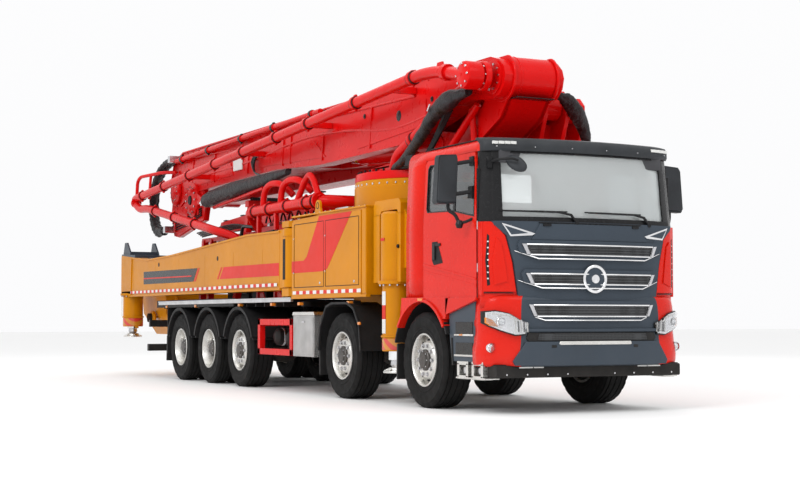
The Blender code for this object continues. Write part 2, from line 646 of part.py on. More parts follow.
def rear_outriggers():
    """Swinging arms hinged behind the side boxes, with a hollow leg and a tray at the rear end."""
    x, y = REAR_PIVOT
    z = (1.4205, 2.2595)
    outline = [
        (REAR_ARM_X[0], 1.43), (REAR_ARM_X[1], 1.43), (REAR_ARM_X[1], 2.25), (-5.6, 2.24), (-9.2, 2.07),
        (-10.6, 2.04), (REAR_ARM_X[0], 2.17),
    ]
    arm = plate("arm", outline, (-REAR_ARM_Y[1], -REAR_ARM_Y[0]))
    barrel = rod("barrel", (x, -y, z[0]), (x, -y, z[1]), 0.16, 20)
    link = box("link", (REAR_ARM_X[1] - 0.05, x - 0.05), (-y - 0.13, -y + 0.10), (1.43, 2.25))
    lx, ly = REAR_LEG
    leg = rod("leg", (lx, -ly, REAR_LEG_Z[0]), (lx, -ly, REAR_LEG_Z[1]), LEG_R - 0.01, 20)
    tray = plate("tray", [(-12.10, 2.12), (-11.2, 2.05), (-11.3, 2.20), (-11.9, 2.24), (-12.10, 2.35)],
                 (-1.19, -1.03))
    arm = join("outrigger", arm, barrel, link, leg, tray)
    cut(arm, rod("bore", (x, -y, 1.2), (x, -y, 2.5), 0.06 + PIN_PLAY, 16))
    cut(arm, rod("bore", (lx, -ly, 0.5), (lx, -ly, 1.95), JACK_R + JACK_FIT, 20))
    both_sides(arm, "right_rear_outrigger", "left_rear_outrigger", body_yellow)
    jack("rear_jack", lx, ly, REAR_PAD_Z, 1.90)


def jack(name, x, y, low, high):
    """Extending leg with its round foot."""
    foot = rod("foot", (x, -y, low), (x, -y, low + 0.05), 0.17, 16)
    ball = rod("ball", (x, -y, low + 0.04), (x, -y, low + 0.11), 0.07, 12)
    stem = rod("stem", (x, -y, low + 0.10), (x, -y, high), JACK_R, 20)
    both_sides(join(name, foot, ball, stem), "right_" + name, "left_" + name, steel)


def front_outriggers():
    """Beams that slide out sideways, each with a tall head and a hollow leg."""
    x, y = FRONT_LEG
    for name, sign, beam_x in (("right", -1, RIGHT_BEAM_X), ("left", 1, LEFT_BEAM_X)):
        head = box("head", (-1.44, -0.70), (sign * 0.90, sign * 1.25), (1.40, 2.30))
        cut(head, box("notch", (-1.6, -1.24), (sign * 1.08, sign * 1.5), (1.2, 2.12)))
        cut(head, box("notch", (-0.74, -0.5), (sign * 1.08, sign * 1.5), (1.2, 2.12)))
        beam = box("beam", beam_x, (-sign * BEAM_IN, sign * 1.0), FRONT_BEAM_Z)
        leg = rod("leg", (x, sign * y, FRONT_LEG_Z[0]), (x, sign * y, FRONT_LEG_Z[1]), LEG_R, 20)
        arm = join(f"{name}_front_outrigger", head, beam, leg)
        bore = rod("bore", (x, sign * y, 0.3), (x, sign * y, 1.42), JACK_R + JACK_FIT, 20)
        cut(arm, bore)
        finish(arm, body_yellow)
    jack("front_jack", x, y, FRONT_PAD_Z, 1.40)


# ---------------------------------------------------------------- boom
def on_y(name, place, y, radius, sides=16):
    """A cylinder along Y at the given x and z."""
    return rod(name, (place[0], y[0], place[1]), (place[0], y[1], place[1]), radius, sides)


def turret():
    """Slewing base, the leaning tower with its hinge drum, and the riser of the delivery line."""
    base = rod("base", (TURRET_X, 0, TURRET_BASE_Z[0]), (TURRET_X, 0, TURRET_BASE_Z[1]), RING_R, 32)
    cheek = [
        (-3.10, 2.80), (-1.36, 2.80), (-1.10, 3.00), (-0.30, 3.03), (0.30, 3.30), (0.60, 3.65),
        (0.55, 3.85), (0.20, 3.85), (-0.10, 3.46), (-0.70, 3.22), (-1.20, 3.30), (-1.45, 3.05), (-3.10, 3.00),
    ]
    y0, y1 = TOWER_Y
    sides = [plate("cheek", cheek, (y0, y0 + TOWER_PLATE)), plate("cheek", cheek, (y1 - TOWER_PLATE, y1))]
    front_skin = [(-0.45, 3.02), (-0.30, 3.03), (0.30, 3.30), (0.60, 3.65), (0.50, 3.62), (0.25, 3.36), (-0.34, 3.09)]
    skin = plate("skin", front_skin, (y0 + 0.02, y1 - 0.02))
    drum = on_y("drum", LIFT_PIVOT, (y0, y1), DRUM_R, 24)
    pivot = on_y("pin", LIFT_PIVOT, (BOOM_1_Y[0], BOOM_1_Y[1]), 0.10, 16)
    foot_pin = on_y("foot_pin", LIFT_FOOT, (y0 + 0.02, y1 - 0.02), 0.05, 12)
    riser = pipe("riser", [(-2.0, -0.62, 2.84), (-1.90, -0.62, 3.06), (-0.24, -0.62, 3.66),
                           (0.38, -0.62, 3.75)], PIPE_R, bend=0.25)
    clamp = box("clamp", (-1.25, -1.15), (-0.62, y0 + 0.02), (3.20, 3.28))
    base_clamp = box("clamp", (-2.06, -1.94), (-0.68, -0.56), (2.80, 2.95))
    finish(join("turret", base, *sides, skin, drum, pivot, foot_pin, riser, clamp, base_clamp), boom_red)


def boom_1():
    """First boom section: root ears round the drum, slot for the lift cylinder, knee plates at the rear."""
    body = [
        (-0.02, 3.97), (-0.60, 4.0), (-10.8, 4.0), (-11.3, 3.85), (-11.5, 3.45), (-11.35, 3.10), (-10.9, 3.02),
        (-10.3, 3.22), (-6.3, 3.28), (-4.6, 3.20), (-1.80, 3.22), (-0.75, 3.45), (-0.16, 3.62),
    ]
    y0, y1 = BOOM_1_Y
    pieces = [plate("body", body, (y0, y1))]
    slot = box("slot", (-5.2, 0.3), LIFT_SLOT_Y, (3.0, 3.52))
    arm = cut(pieces[0], slot)
    for ear_y in ((y0, TOWER_Y[0] - SIDE_PLAY), (TOWER_Y[1] + SIDE_PLAY, y1)):
        ear = [(-0.6, 4.0), (0.30, 4.0), (0.56, 3.92), (0.64, 3.75), (0.56, 3.57), (0.38, 3.50), (-0.2, 3.55),
               (-0.6, 3.60)]
        arm = join("boom_1", arm, plate("ear", ear, ear_y))
    cut(arm, on_y("bore", LIFT_PIVOT, (-1, 1), 0.10 + PIN_PLAY, 16))
    hub = on_y("hub", FOLD_2, (y0 - 0.05, BOOM_2_Y[0] - SIDE_PLAY), HUB_R + 0.02, 20)
    pin = on_y("pin", FOLD_2, (y0, BOOM_2_Y[1] + 0.03), FOLD_PIN_R)
    knee = [(-11.0, 3.2), (-11.45, 3.2), (-11.5, 2.95), (-11.35, 2.50), (-11.05, 2.46), (-9.6, 2.70), (-9.6, 3.2)]
    plates = plate("knee", knee, (-0.50, -0.42))
    arm = join("boom_1", arm, hub, pin, plates)
    finish(arm, boom_red)


def section(name, root, tip, depth, width):
    """Straight tapering box between two hinges; depth is (at root, at tip)."""
    (x0, z0), (x1, z1) = root, tip
    outline = [
        (x0, z0 - depth[0] / 2), (x1, z1 - depth[1] / 2), (x1, z1 + depth[1] / 2), (x0, z0 + depth[0] / 2),
    ]
    return plate(name, outline, width)


def hinge_bore(arm, place):
    return cut(arm, on_y("bore", place, (-2, 2), FOLD_PIN_R + PIN_PLAY))


def boom_2():
    """Second section, beside the first; a fork at its front end holds the third above it."""
    y0, y1 = BOOM_2_Y
    arm = section("boom_2", (FOLD_2[0] + 0.1, 3.30), (-0.25, 3.22), (0.40, 0.24), (y0 + SKIN, y1 - SKIN))
    root = on_y("root", FOLD_2, (y0, y1), HUB_R, 20)
    cheek = [(-0.9, 3.12), (-0.02, 3.12), (0.10, 3.40), (0.10, 3.60), (-0.02, 3.72), (-0.18, 3.72),
             (-0.32, 3.60), (-0.9, 3.25)]
    cheeks = [plate("cheek", cheek, (y0, y0 + 0.06)), plate("cheek", cheek, (y1 - 0.06, y1))]
    pin = on_y("pin", FOLD_3, (y0 + 0.01, y1 - 0.01), FOLD_PIN_R)
    arm = join("boom_2", arm, root, *cheeks, pin)
    finish(hinge_bore(arm, FOLD_2), boom_red)


def boom_3():
    """Third section, above the second."""
    y0, y1 = BOOM_3_Y
    inner = (BOOM_2_Y[0] + 0.06 + SIDE_PLAY, BOOM_2_Y[1] - 0.06 - SIDE_PLAY)
    arm = section("boom_3", (-0.55, 3.74), (FOLD_4[0] + 0.1, 3.72), (0.32, 0.30), (y0 + SKIN, y1 - SKIN))
    nose = plate("nose", [(-0.9, 3.60), (-0.9, 3.86), (-0.30, 3.80), (0.02, 3.66), (0.02, 3.42), (-0.18, 3.40)],
                 inner)
    root = on_y("root", FOLD_3, inner, 0.15, 16)
    rear = on_y("rear", FOLD_4, (y0, y1), 0.17, 16)
    hub = on_y("hub", FOLD_4, (BOOM_3_Y[1] - 0.02, BOOM_4_Y[0] - SIDE_PLAY), 0.16, 16)
    pin = on_y("pin", FOLD_4, (y1 - 0.05, BOOM_4_Y[1] + 0.03), FOLD_PIN_R)
    arm = join("boom_3", arm, nose, root, rear, hub, pin)
    finish(hinge_bore(arm, FOLD_3), boom_red)


def boom_4():
    """Fourth section, outermost and low; a fork at its front end holds the fifth."""
    y0, y1 = BOOM_4_Y
    arm = section("boom_4", (FOLD_4[0] + 0.15, 3.34), (-0.45, 3.22), (0.34, 0.22), (y0 + SKIN, y1 - SKIN))
    root = on_y("root", FOLD_4, (y0, y1), 0.19, 18)
    neck = plate("neck", [(-10.58, 3.70), (-10.4, 3.30), (-10.1, 3.16), (-9.7, 3.16), (-9.7, 3.50), (-10.0, 3.53),
                          (-10.22, 3.74)], (y0, y1))
    cheek = [(-1.0, 3.13), (-0.22, 3.13), (-0.12, 3.38), (-0.12, 3.58), (-0.22, 3.68), (-0.38, 3.68),
             (-0.50, 3.56), (-1.0, 3.25)]
    cheeks = [plate("cheek", cheek, (y0, y0 + 0.05)), plate("cheek", cheek, (y1 - 0.05, y1))]
    pin = on_y("pin", FOLD_5, (y0 + 0.01, y1 - 0.01), 0.06)
    arm = join("boom_4", arm, root, neck, *cheeks, pin)
    finish(hinge_bore(arm, FOLD_4), boom_red)


def boom_5():
    """Last section with its pipe end."""
    y0, y1 = BOOM_5_Y
    inner = (BOOM_4_Y[0] + 0.05 + SIDE_PLAY, BOOM_4_Y[1] - 0.05 - SIDE_PLAY)
    arm = section("boom_5", (-0.75, 3.69), (-9.60, 3.68), (0.26, 0.18), (y0, y1))
    nose = plate("nose", [(-1.1, 3.60), (-1.1, 3.80), (-0.50, 3.76), (-0.20, 3.62), (-0.20, 3.42), (-0.36, 3.40)],
                 inner)
    root = on_y("root", FOLD_5, inner, 0.12, 16)
    arm = join("boom_5", arm, nose, root)
    finish(cut(arm, on_y("bore", FOLD_5, (-2, 2), 0.06 + PIN_PLAY)), boom_red)


def lift_cylinder():
    """Barrel standing on the turret and the rod that meets boom 1."""
    foot = Vector((LIFT_FOOT[0], LIFT_Y, LIFT_FOOT[1]))
    eye = Vector((LIFT_EYE[0], LIFT_Y, LIFT_EYE[1]))
    along = (eye - foot).normalized()
    reach = (eye - foot).length
    cheek_in = TOWER_PLATE + SIDE_PLAY
    lug = on_y("lug", LIFT_FOOT, (TOWER_Y[0] + cheek_in, TOWER_Y[1] - cheek_in), 0.11, 16)
    barrel = rod("barrel", foot + along * 0.08, foot + along * (reach - 0.20), 0.125, 18)
    barrel = join("lift_cylinder", barrel, lug)
    cut(barrel, on_y("bore", LIFT_FOOT, (-1, 1), 0.05 + PIN_PLAY, 12))
    cut(barrel, rod("bore", foot + along * 0.45, foot + along * (reach + 1), 0.075 + JACK_FIT, 16))
    finish(barrel, boom_red)
    stem = rod("stem", foot + along * 0.5, eye - along * 0.05, 0.075, 16)
    head = on_y("head", LIFT_EYE, (LIFT_Y - 0.07, LIFT_Y + 0.07), 0.10, 16)
    finish(join("lift_rod", stem, head), steel)


def boom_pipe():
    """Delivery line on the right of boom 1, out to the elbow behind it and back under."""
    y = PIPE_Y
    line = pipe("boom_pipe", [(0.38, y, 3.75), (-0.28, y, 3.90), (-0.75, y, 3.92), (-12.64, y, 3.26),
                              (-12.30, y, 3.05), (-10.7, y, 3.04), (-8.0, y, 2.50), (-7.85, -0.62, 2.62)],
                PIPE_R, bend=0.22)
    disc = on_y("disc", (0.38, 3.75), (y - 0.06, -0.72), 0.16, 16)
    stays = []
    for x in (-1.6, -4.2, -6.8, -9.4):
        z = 3.92 + (x + 0.75) * 0.66 / 11.89
        stays.append(box("stay", (x - 0.04, x + 0.04), (y, BOOM_1_Y[0] - GAP), (z - 0.03, z + 0.03)))
    finish(join("boom_pipe", line, disc, *stays), boom_red)


def hose_loop():
    """Bundle of hoses looping from the top to the bottom of boom 1 behind its rear hinge."""
    y = -0.62
    path = [(-11.0, y, 3.90), (-11.6, y, 3.86), (-12.2, y, 3.55), (-12.4, y, 3.0), (-12.1, y, 2.55), (-11.3, y, 2.62)]
    loop = pipe("hose_loop", path, 0.065, bend=0.3)
    ends = [box("clip", (-11.08, -10.95), (y - 0.05, BOOM_1_Y[0] - GAP), (3.84, 3.96)),
            box("clip", (-11.34, -11.2), (y - 0.05, -0.50 - GAP), (2.58, 2.68))]
    finish(join("hose_loop", loop, *ends), hose_black)


def deck_pipes():
    """Delivery line on the deck from the hopper to the turret, with its stand."""
    y = -0.88
    line = pipe("deck_pipes", [(-6.3, y, 2.62), (-3.75, y, 2.62), (-3.62, -0.45, 2.60)],
                PIPE_R, bend=0.2)
    hoops = []
    for x in (-5.9, -5.2, -4.5):
        hoops.append(pipe("hoop", [(x, y, 2.62), (x, y, 2.98), (x + 0.55, y, 2.98), (x + 0.55, y, 2.62)], 0.05,
                          sides=8, bend=0.25))
    stands = [box("stand", (x, x + 0.08), (-0.92, -0.84), (DECK_Z[1] + GAP, 2.6)) for x in (-6.1, -5.4)]
    finish(join("deck_pipes", line, *hoops, *stands), boom_red)


clear_scene()
parts = bpy.data.collections.new("concrete_pump_truck")
bpy.context.scene.collection.children.link(parts)
origin = bpy.data.objects.new("origin", None)
origin.location = (FRONT_AXLE_X, 0, 0)
parts.objects.link(origin)

tyre_black = material("tyre_black", (0.02, 0.02, 0.02), 0.85)
iron = material("iron", (0.06, 0.06, 0.065), 0.6, 0.5)
frame_black = material("frame_black", (0.03, 0.03, 0.035), 0.5)
fender_black = material("fender_black", (0.025, 0.025, 0.03), 0.7)
locker_grey = material("locker_grey", (0.42, 0.42, 0.43), 0.35, 0.8)
pump_yellow = material("pump_yellow", (0.70, 0.36, 0.02), 0.4)
body_yellow = material("body_yellow", (0.80, 0.42, 0.02), 0.35)
boom_red = material("boom_red", (0.72, 0.03, 0.02), 0.3)
cab_red = material("cab_red", (0.75, 0.04, 0.02), 0.25)
glass = material("glass", (0.10, 0.12, 0.13), 0.05)
seat_black = material("seat_black", (0.04, 0.04, 0.045), 0.7)
grille_dark = material("grille_dark", (0.07, 0.09, 0.11), 0.35)
steel = material("steel", (0.65, 0.65, 0.67), 0.25, 1.0)
hose_black = material("hose_black", (0.02, 0.02, 0.022), 0.6)

running_gear()
chassis_frame()
engine()
rear_deck()
second_fenders()
right_side_box()
left_fuel_tank()
pump_and_hopper()
cab()
pedestal()
side_boxes()
rear_outriggers()
front_outriggers()
turret()
boom_1()
boom_2()
boom_3()
boom_4()
boom_5()
lift_cylinder()
boom_pipe()
hose_loop()
deck_pipes()
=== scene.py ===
"""Looks for the concrete pump truck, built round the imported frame.

Every x below is counted from the front axle, forward positive, and FRONT moves it into the frame's own x.
"""

import json
import math

import bmesh
import bpy
import numpy as np
from mathutils import Matrix, Vector


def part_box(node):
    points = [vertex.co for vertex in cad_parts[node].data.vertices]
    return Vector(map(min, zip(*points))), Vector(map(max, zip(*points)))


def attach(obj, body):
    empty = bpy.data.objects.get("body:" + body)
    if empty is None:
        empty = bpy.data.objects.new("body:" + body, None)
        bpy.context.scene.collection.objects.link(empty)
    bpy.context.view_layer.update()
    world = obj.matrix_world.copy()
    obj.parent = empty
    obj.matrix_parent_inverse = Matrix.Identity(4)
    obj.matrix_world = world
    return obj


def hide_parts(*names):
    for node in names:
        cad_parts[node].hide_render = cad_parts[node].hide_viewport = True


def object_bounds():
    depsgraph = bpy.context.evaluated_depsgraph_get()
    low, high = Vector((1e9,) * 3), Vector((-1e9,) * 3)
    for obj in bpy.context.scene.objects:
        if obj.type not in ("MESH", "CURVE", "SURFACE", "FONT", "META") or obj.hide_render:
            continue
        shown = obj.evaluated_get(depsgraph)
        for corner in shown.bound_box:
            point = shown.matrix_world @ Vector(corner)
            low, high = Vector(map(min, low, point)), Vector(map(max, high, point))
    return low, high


bpy.ops.wm.read_factory_settings(use_empty=True)
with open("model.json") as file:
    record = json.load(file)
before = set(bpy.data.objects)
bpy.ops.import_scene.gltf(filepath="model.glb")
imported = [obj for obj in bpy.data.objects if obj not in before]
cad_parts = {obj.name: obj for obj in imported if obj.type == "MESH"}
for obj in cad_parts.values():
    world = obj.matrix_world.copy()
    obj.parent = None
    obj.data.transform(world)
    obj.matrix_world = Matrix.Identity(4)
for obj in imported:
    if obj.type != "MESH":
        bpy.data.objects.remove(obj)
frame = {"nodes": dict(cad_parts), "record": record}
cad_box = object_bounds()

AXLES = (0.0, -2.25, -5.95, -7.33, -8.71)
WHEEL_Z = 0.54
BACK_MARGIN, TOP_MARGIN = 0.0005, 0.001  # kept inside the CAD box, behind and on top
FRONT = sum(corner.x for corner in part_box("right_wheel_1")) / 2
SIDES = (("right", -1), ("left", 1))


# ---------------------------------------------------------------- materials
class Nodes:
    """A material's node tree with short calls for the nodes used here."""

    def __init__(self, name):
        self.material = bpy.data.materials.new(name)
        self.material.use_nodes = True
        self.tree = self.material.node_tree
        self.shader = self.tree.nodes["Principled BSDF"]
        self.place = self.tree.nodes.new("ShaderNodeTexCoord").outputs["Object"]

    def link(self, source, target):
        self.tree.links.new(source, target)

    def set(self, **values):
        for key, value in values.items():
            self.shader.inputs[key.replace("_", " ").title().replace("Ior", "IOR")].default_value = value
        return self

    def noise(self, scale, detail=4.0, stretch=None):
        node = self.tree.nodes.new("ShaderNodeTexNoise")
        node.inputs["Scale"].default_value = scale
        node.inputs["Detail"].default_value = detail
        source = self.place
        if stretch:
            mapping = self.tree.nodes.new("ShaderNodeMapping")
            mapping.inputs["Scale"].default_value = stretch
            self.link(source, mapping.inputs["Vector"])
            source = mapping.outputs["Vector"]
        self.link(source, node.inputs["Vector"])
        return node.outputs["Fac"]

    def ramp(self, source, *stops):
        node = self.tree.nodes.new("ShaderNodeValToRGB")
        elements = node.color_ramp.elements
        while len(elements) < len(stops):
            elements.new(0.5)
        for element, (position, colour) in zip(elements, stops):
            element.position = position
            element.color = (*colour, 1) if isinstance(colour, tuple) else (colour, colour, colour, 1)
        self.link(source, node.inputs["Fac"])
        return node.outputs["Color"]

    def math(self, operation, *values):
        node = self.tree.nodes.new("ShaderNodeMath")
        node.operation = operation
        for socket, value in zip(node.inputs, values):
            if isinstance(value, (int, float)):
                socket.default_value = value
            else:
                self.link(value, socket)
        return node.outputs[0]

    def mix(self, factor, a, b, blend="MIX"):
        node = self.tree.nodes.new("ShaderNodeMix")
        node.data_type = "RGBA"
        node.blend_type = blend
        sockets = [s for s in node.inputs if s.enabled]
        for socket, value in zip((node.inputs["Factor"], sockets[-2], sockets[-1]), (factor, a, b)):
            if isinstance(value, (int, float)):
                socket.default_value = value
            elif isinstance(value, tuple):
                socket.default_value = (*value, 1)
            else:
                self.link(value, socket)
        return [s for s in node.outputs if s.enabled][0]

    def axis(self, name):
        node = self.tree.nodes.new("ShaderNodeSeparateXYZ")
        self.link(self.place, node.inputs[0])
        return node.outputs[name]

    def colour(self, source):
        self.link(source, self.shader.inputs["Base Color"])
        return self

    def rough(self, source):
        self.link(source, self.shader.inputs["Roughness"])
        return self

    def bump(self, source, distance, strength=1.0):
        node = self.tree.nodes.new("ShaderNodeBump")
        node.inputs["Strength"].default_value = strength
        node.inputs["Distance"].default_value = distance
        self.link(source, node.inputs["Height"])
        self.link(node.outputs["Normal"], self.shader.inputs["Normal"])
        return self


def tint(rgb, factor):
    return tuple(min(1.0, c * factor) for c in rgb)


def dust(nodes, base, low=0.35, high=1.6, amount=0.25):
    """Road dust that thins out with height."""
    height = nodes.axis("Z")
    fade = nodes.math("MULTIPLY", nodes.math("SUBTRACT", high, height), 1 / (high - low))
    patchy = nodes.math("MULTIPLY", nodes.noise(7.0, 6.0), amount)
    factor = nodes.math("MULTIPLY", nodes.math("MAXIMUM", nodes.math("MINIMUM", fade, 1.0), 0.0), patchy)
    return nodes.mix(factor, base, (0.32, 0.28, 0.23))


def paint(name, rgb, roughness=0.28, coat=0.7, dirt=0.04, orange_peel=0.00025):
    """Sprayed enamel: slight colour drift, orange peel, thin dust low down."""
    nodes = Nodes(name).set(coat_weight=coat * 0.15, coat_roughness=0.04, ior=1.2)
    drift = nodes.ramp(nodes.noise(1.3, 3.0), (0.3, tint(rgb, 0.92)), (0.7, tint(rgb, 1.06)))
    nodes.colour(dust(nodes, drift, amount=dirt))
    nodes.rough(nodes.ramp(nodes.noise(9.0, 5.0), (0.3, roughness), (0.75, roughness + 0.12)))
    return nodes.bump(nodes.noise(160.0, 2.0), orange_peel).material


def plastic(name, rgb, roughness=0.55, grain=420.0, dirt=0.04):
    nodes = Nodes(name).set(specular_ior_level=0.2)
    drift = nodes.ramp(nodes.noise(3.0, 4.0), (0.3, tint(rgb, 0.8)), (0.7, tint(rgb, 1.25)))
    nodes.colour(dust(nodes, drift, amount=dirt))
    nodes.rough(nodes.ramp(nodes.noise(20.0), (0.3, roughness - 0.06), (0.7, roughness + 0.1)))
    return nodes.bump(nodes.noise(grain, 2.0), 0.0005).material


def metal(name, rgb, roughness=0.3, stretch=None, grain=60.0, dirt=0.2):
    nodes = Nodes(name).set(metallic=1.0)
    drift = nodes.ramp(nodes.noise(4.0, 6.0), (0.3, tint(rgb, 0.82)), (0.7, tint(rgb, 1.08)))
    nodes.colour(dust(nodes, drift, amount=dirt))
    nodes.rough(nodes.ramp(nodes.noise(grain, 5.0, stretch), (0.3, roughness * 0.75), (0.7, roughness * 1.4)))
    return nodes.bump(nodes.noise(grain * 3, 3.0, stretch), 0.0002).material


def rubber(name, rgb=(0.0065, 0.0065, 0.0068)):
    nodes = Nodes(name).set(specular_ior_level=0.15)
    drift = nodes.ramp(nodes.noise(5.0, 6.0), (0.3, tint(rgb, 0.8)), (0.75, tint(rgb, 1.7)))
    nodes.colour(dust(nodes, drift, 0.0, 1.2, 0.03))
    nodes.rough(nodes.ramp(nodes.noise(14.0, 5.0), (0.3, 0.62), (0.7, 0.82)))
    return nodes.bump(nodes.noise(220.0, 3.0), 0.0006).material


def wrap(name):
    """Creased black sheathing round hoses, with painted shade: the colour is darker in the hollows of the creases."""
    nodes = Nodes(name).set(specular_ior_level=0.25)
    crease = nodes.noise(11.0, 7.0)
    # painted shade: the same crease field that lowers the bump darkens the colour in the hollows
    nodes.colour(nodes.ramp(crease, (0.35, (0.006, 0.006, 0.007)), (0.7, (0.035, 0.035, 0.038))))
    nodes.rough(nodes.ramp(crease, (0.3, 0.28), (0.7, 0.55)))
    return nodes.bump(nodes.math("ADD", crease, nodes.math("MULTIPLY", nodes.noise(42.0, 5.0), 0.35)),
                      0.035).material


def banded(name, first, second, step, axis="Z", slant=0.0):
    """Bands along one upright axis, for legs."""
    nodes = Nodes(name).set(coat_weight=0.4, roughness=0.3)
    side = nodes.math("MULTIPLY", nodes.axis("X"), slant)
    along = nodes.math("ADD", nodes.axis(axis), side)
    band = nodes.math("GREATER_THAN", nodes.math("FRACT", nodes.math("MULTIPLY", along, 0.5 / step)), 0.5)
    nodes.colour(dust(nodes, nodes.mix(band, first, second), amount=0.25))
    return nodes.bump(nodes.noise(200.0), 0.0003).material


def chequer(name):
    """Chequer plate: rows of short raised bars, turned one way and then the other."""
    nodes = Nodes(name).set(metallic=1.0)
    waves = []
    for turn in (0.785, -0.785):
        mapping = nodes.tree.nodes.new("ShaderNodeMapping")
        mapping.inputs["Rotation"].default_value = (0, turn, 0)
        mapping.inputs["Scale"].default_value = (30, 30, 30)
        nodes.link(nodes.place, mapping.inputs["Vector"])
        cell = nodes.tree.nodes.new("ShaderNodeTexVoronoi")
        cell.feature = "F1"
        cell.inputs["Randomness"].default_value = 0.0
        squeeze = nodes.tree.nodes.new("ShaderNodeMapping")
        squeeze.inputs["Scale"].default_value = (0.45, 1.0, 1.35)
        nodes.link(mapping.outputs["Vector"], squeeze.inputs["Vector"])
        nodes.link(squeeze.outputs["Vector"], cell.inputs["Vector"])
        waves.append(nodes.math("LESS_THAN", cell.outputs["Distance"], 0.26))
    raised = nodes.math("MAXIMUM", *waves)
    nodes.colour(dust(nodes, nodes.ramp(nodes.noise(5.0, 5.0), (0.3, 0.42), (0.7, 0.58)), amount=0.45))
    nodes.rough(nodes.ramp(raised, (0.0, 0.48), (1.0, 0.26)))
    return nodes.bump(raised, 0.002).material


def mesh_grille(name):
    nodes = Nodes(name).set(roughness=0.5)
    cell = nodes.tree.nodes.new("ShaderNodeTexVoronoi")
    cell.inputs["Scale"].default_value = 55.0
    cell.inputs["Randomness"].default_value = 0.0
    nodes.link(nodes.place, cell.inputs["Vector"])
    hole = nodes.math("LESS_THAN", cell.outputs["Distance"], 0.36)
    # painted shade: the holes are coloured near black for the dark space behind the mesh
    nodes.colour(nodes.mix(hole, (0.035, 0.037, 0.04), (0.002, 0.002, 0.002)))
    return nodes.bump(nodes.math("SUBTRACT", 1.0, hole), 0.003).material


def fabric(name, rgb):
    nodes = Nodes(name).set(sheen_weight=0.3, roughness=0.9)
    weave = nodes.noise(900.0, 2.0)
    nodes.colour(nodes.ramp(weave, (0.3, tint(rgb, 0.7)), (0.7, tint(rgb, 1.3))))
    return nodes.bump(weave, 0.0008).material


def clear(name, rgb, transmission=0.9, roughness=0.02):
    nodes = Nodes(name).set(transmission_weight=transmission, ior=1.45, coat_weight=0.6, coat_roughness=0.02)
    nodes.colour(nodes.ramp(nodes.noise(1.1), (0.2, tint(rgb, 0.96)), (0.8, rgb)))
    nodes.rough(nodes.ramp(nodes.noise(2.0, 5.0), (0.4, roughness), (0.8, roughness + 0.02)))
    return nodes.material


RED_RGB, YELLOW_RGB, SLATE_RGB = (0.62, 0.003, 0.003), (0.57, 0.215, 0.001), (0.046, 0.060, 0.078)
red = paint("boom_red", RED_RGB, 0.25)
cab_red = paint("cab_red", (0.64, 0.012, 0.004), 0.20, coat=1.0, orange_peel=0.00012)
yellow = paint("body_yellow", YELLOW_RGB, 0.30, coat=0.6)
slate = paint("slate_panel", SLATE_RGB, 0.30, coat=0.8)
black_paint = paint("frame_black", (0.010, 0.010, 0.011), 0.42, coat=0.2, dirt=0.10)
band_red = paint("band_red", (0.62, 0.022, 0.012), 0.3, coat=0.5)
white_paint = paint("marker_white", (0.72, 0.72, 0.70), 0.35, coat=0.3)
iron = metal("cast_iron", (0.10, 0.10, 0.105), 0.6, dirt=0.6)
steel = metal("ground_steel", (0.62, 0.62, 0.64), 0.22, stretch=(1, 1, 14))
rim_silver = metal("rim_silver", (0.74, 0.73, 0.70), 0.30, dirt=0.15)
chrome = metal("chrome", (0.82, 0.82, 0.83), 0.08, dirt=0.05)
aluminium = metal("aluminium", (0.66, 0.66, 0.67), 0.35, stretch=(1, 12, 12))
hub_dark = metal("hub_dark", (0.07, 0.07, 0.075), 0.45, dirt=0.5)
chequer_plate = chequer("chequer_plate")
tyre = rubber("tyre_rubber")
black_plastic = plastic("black_plastic", (0.012, 0.012, 0.013))
gloss_black = plastic("gloss_black", (0.012, 0.012, 0.013), 0.22, dirt=0.1)
mirror_shell = plastic("mirror_shell", (0.030, 0.033, 0.037), 0.45, dirt=0.05)
cab_trim = plastic("cab_trim", (0.06, 0.06, 0.065), 0.6, dirt=0.0)
hose_wrap = wrap("hose_wrap")
grille_mesh = mesh_grille("grille_mesh")
seat_cloth = fabric("seat_cloth", (0.055, 0.055, 0.06))
screen_glass = clear("screen_glass", (0.84, 0.88, 0.88), 0.62)
side_glass = clear("side_glass", (0.22, 0.25, 0.26), 0.85)
lamp_glass = clear("lamp_glass", (0.95, 0.96, 0.97), 0.95)
mirror_glass = metal("mirror_glass", (0.75, 0.77, 0.78), 0.03, dirt=0.0)
amber = clear("amber_lens", (1.0, 0.32, 0.03), 0.35, 0.12)
hazard = banded("hazard_bands", (0.62, 0.03, 0.02), YELLOW_RGB, 0.075, slant=1.0)


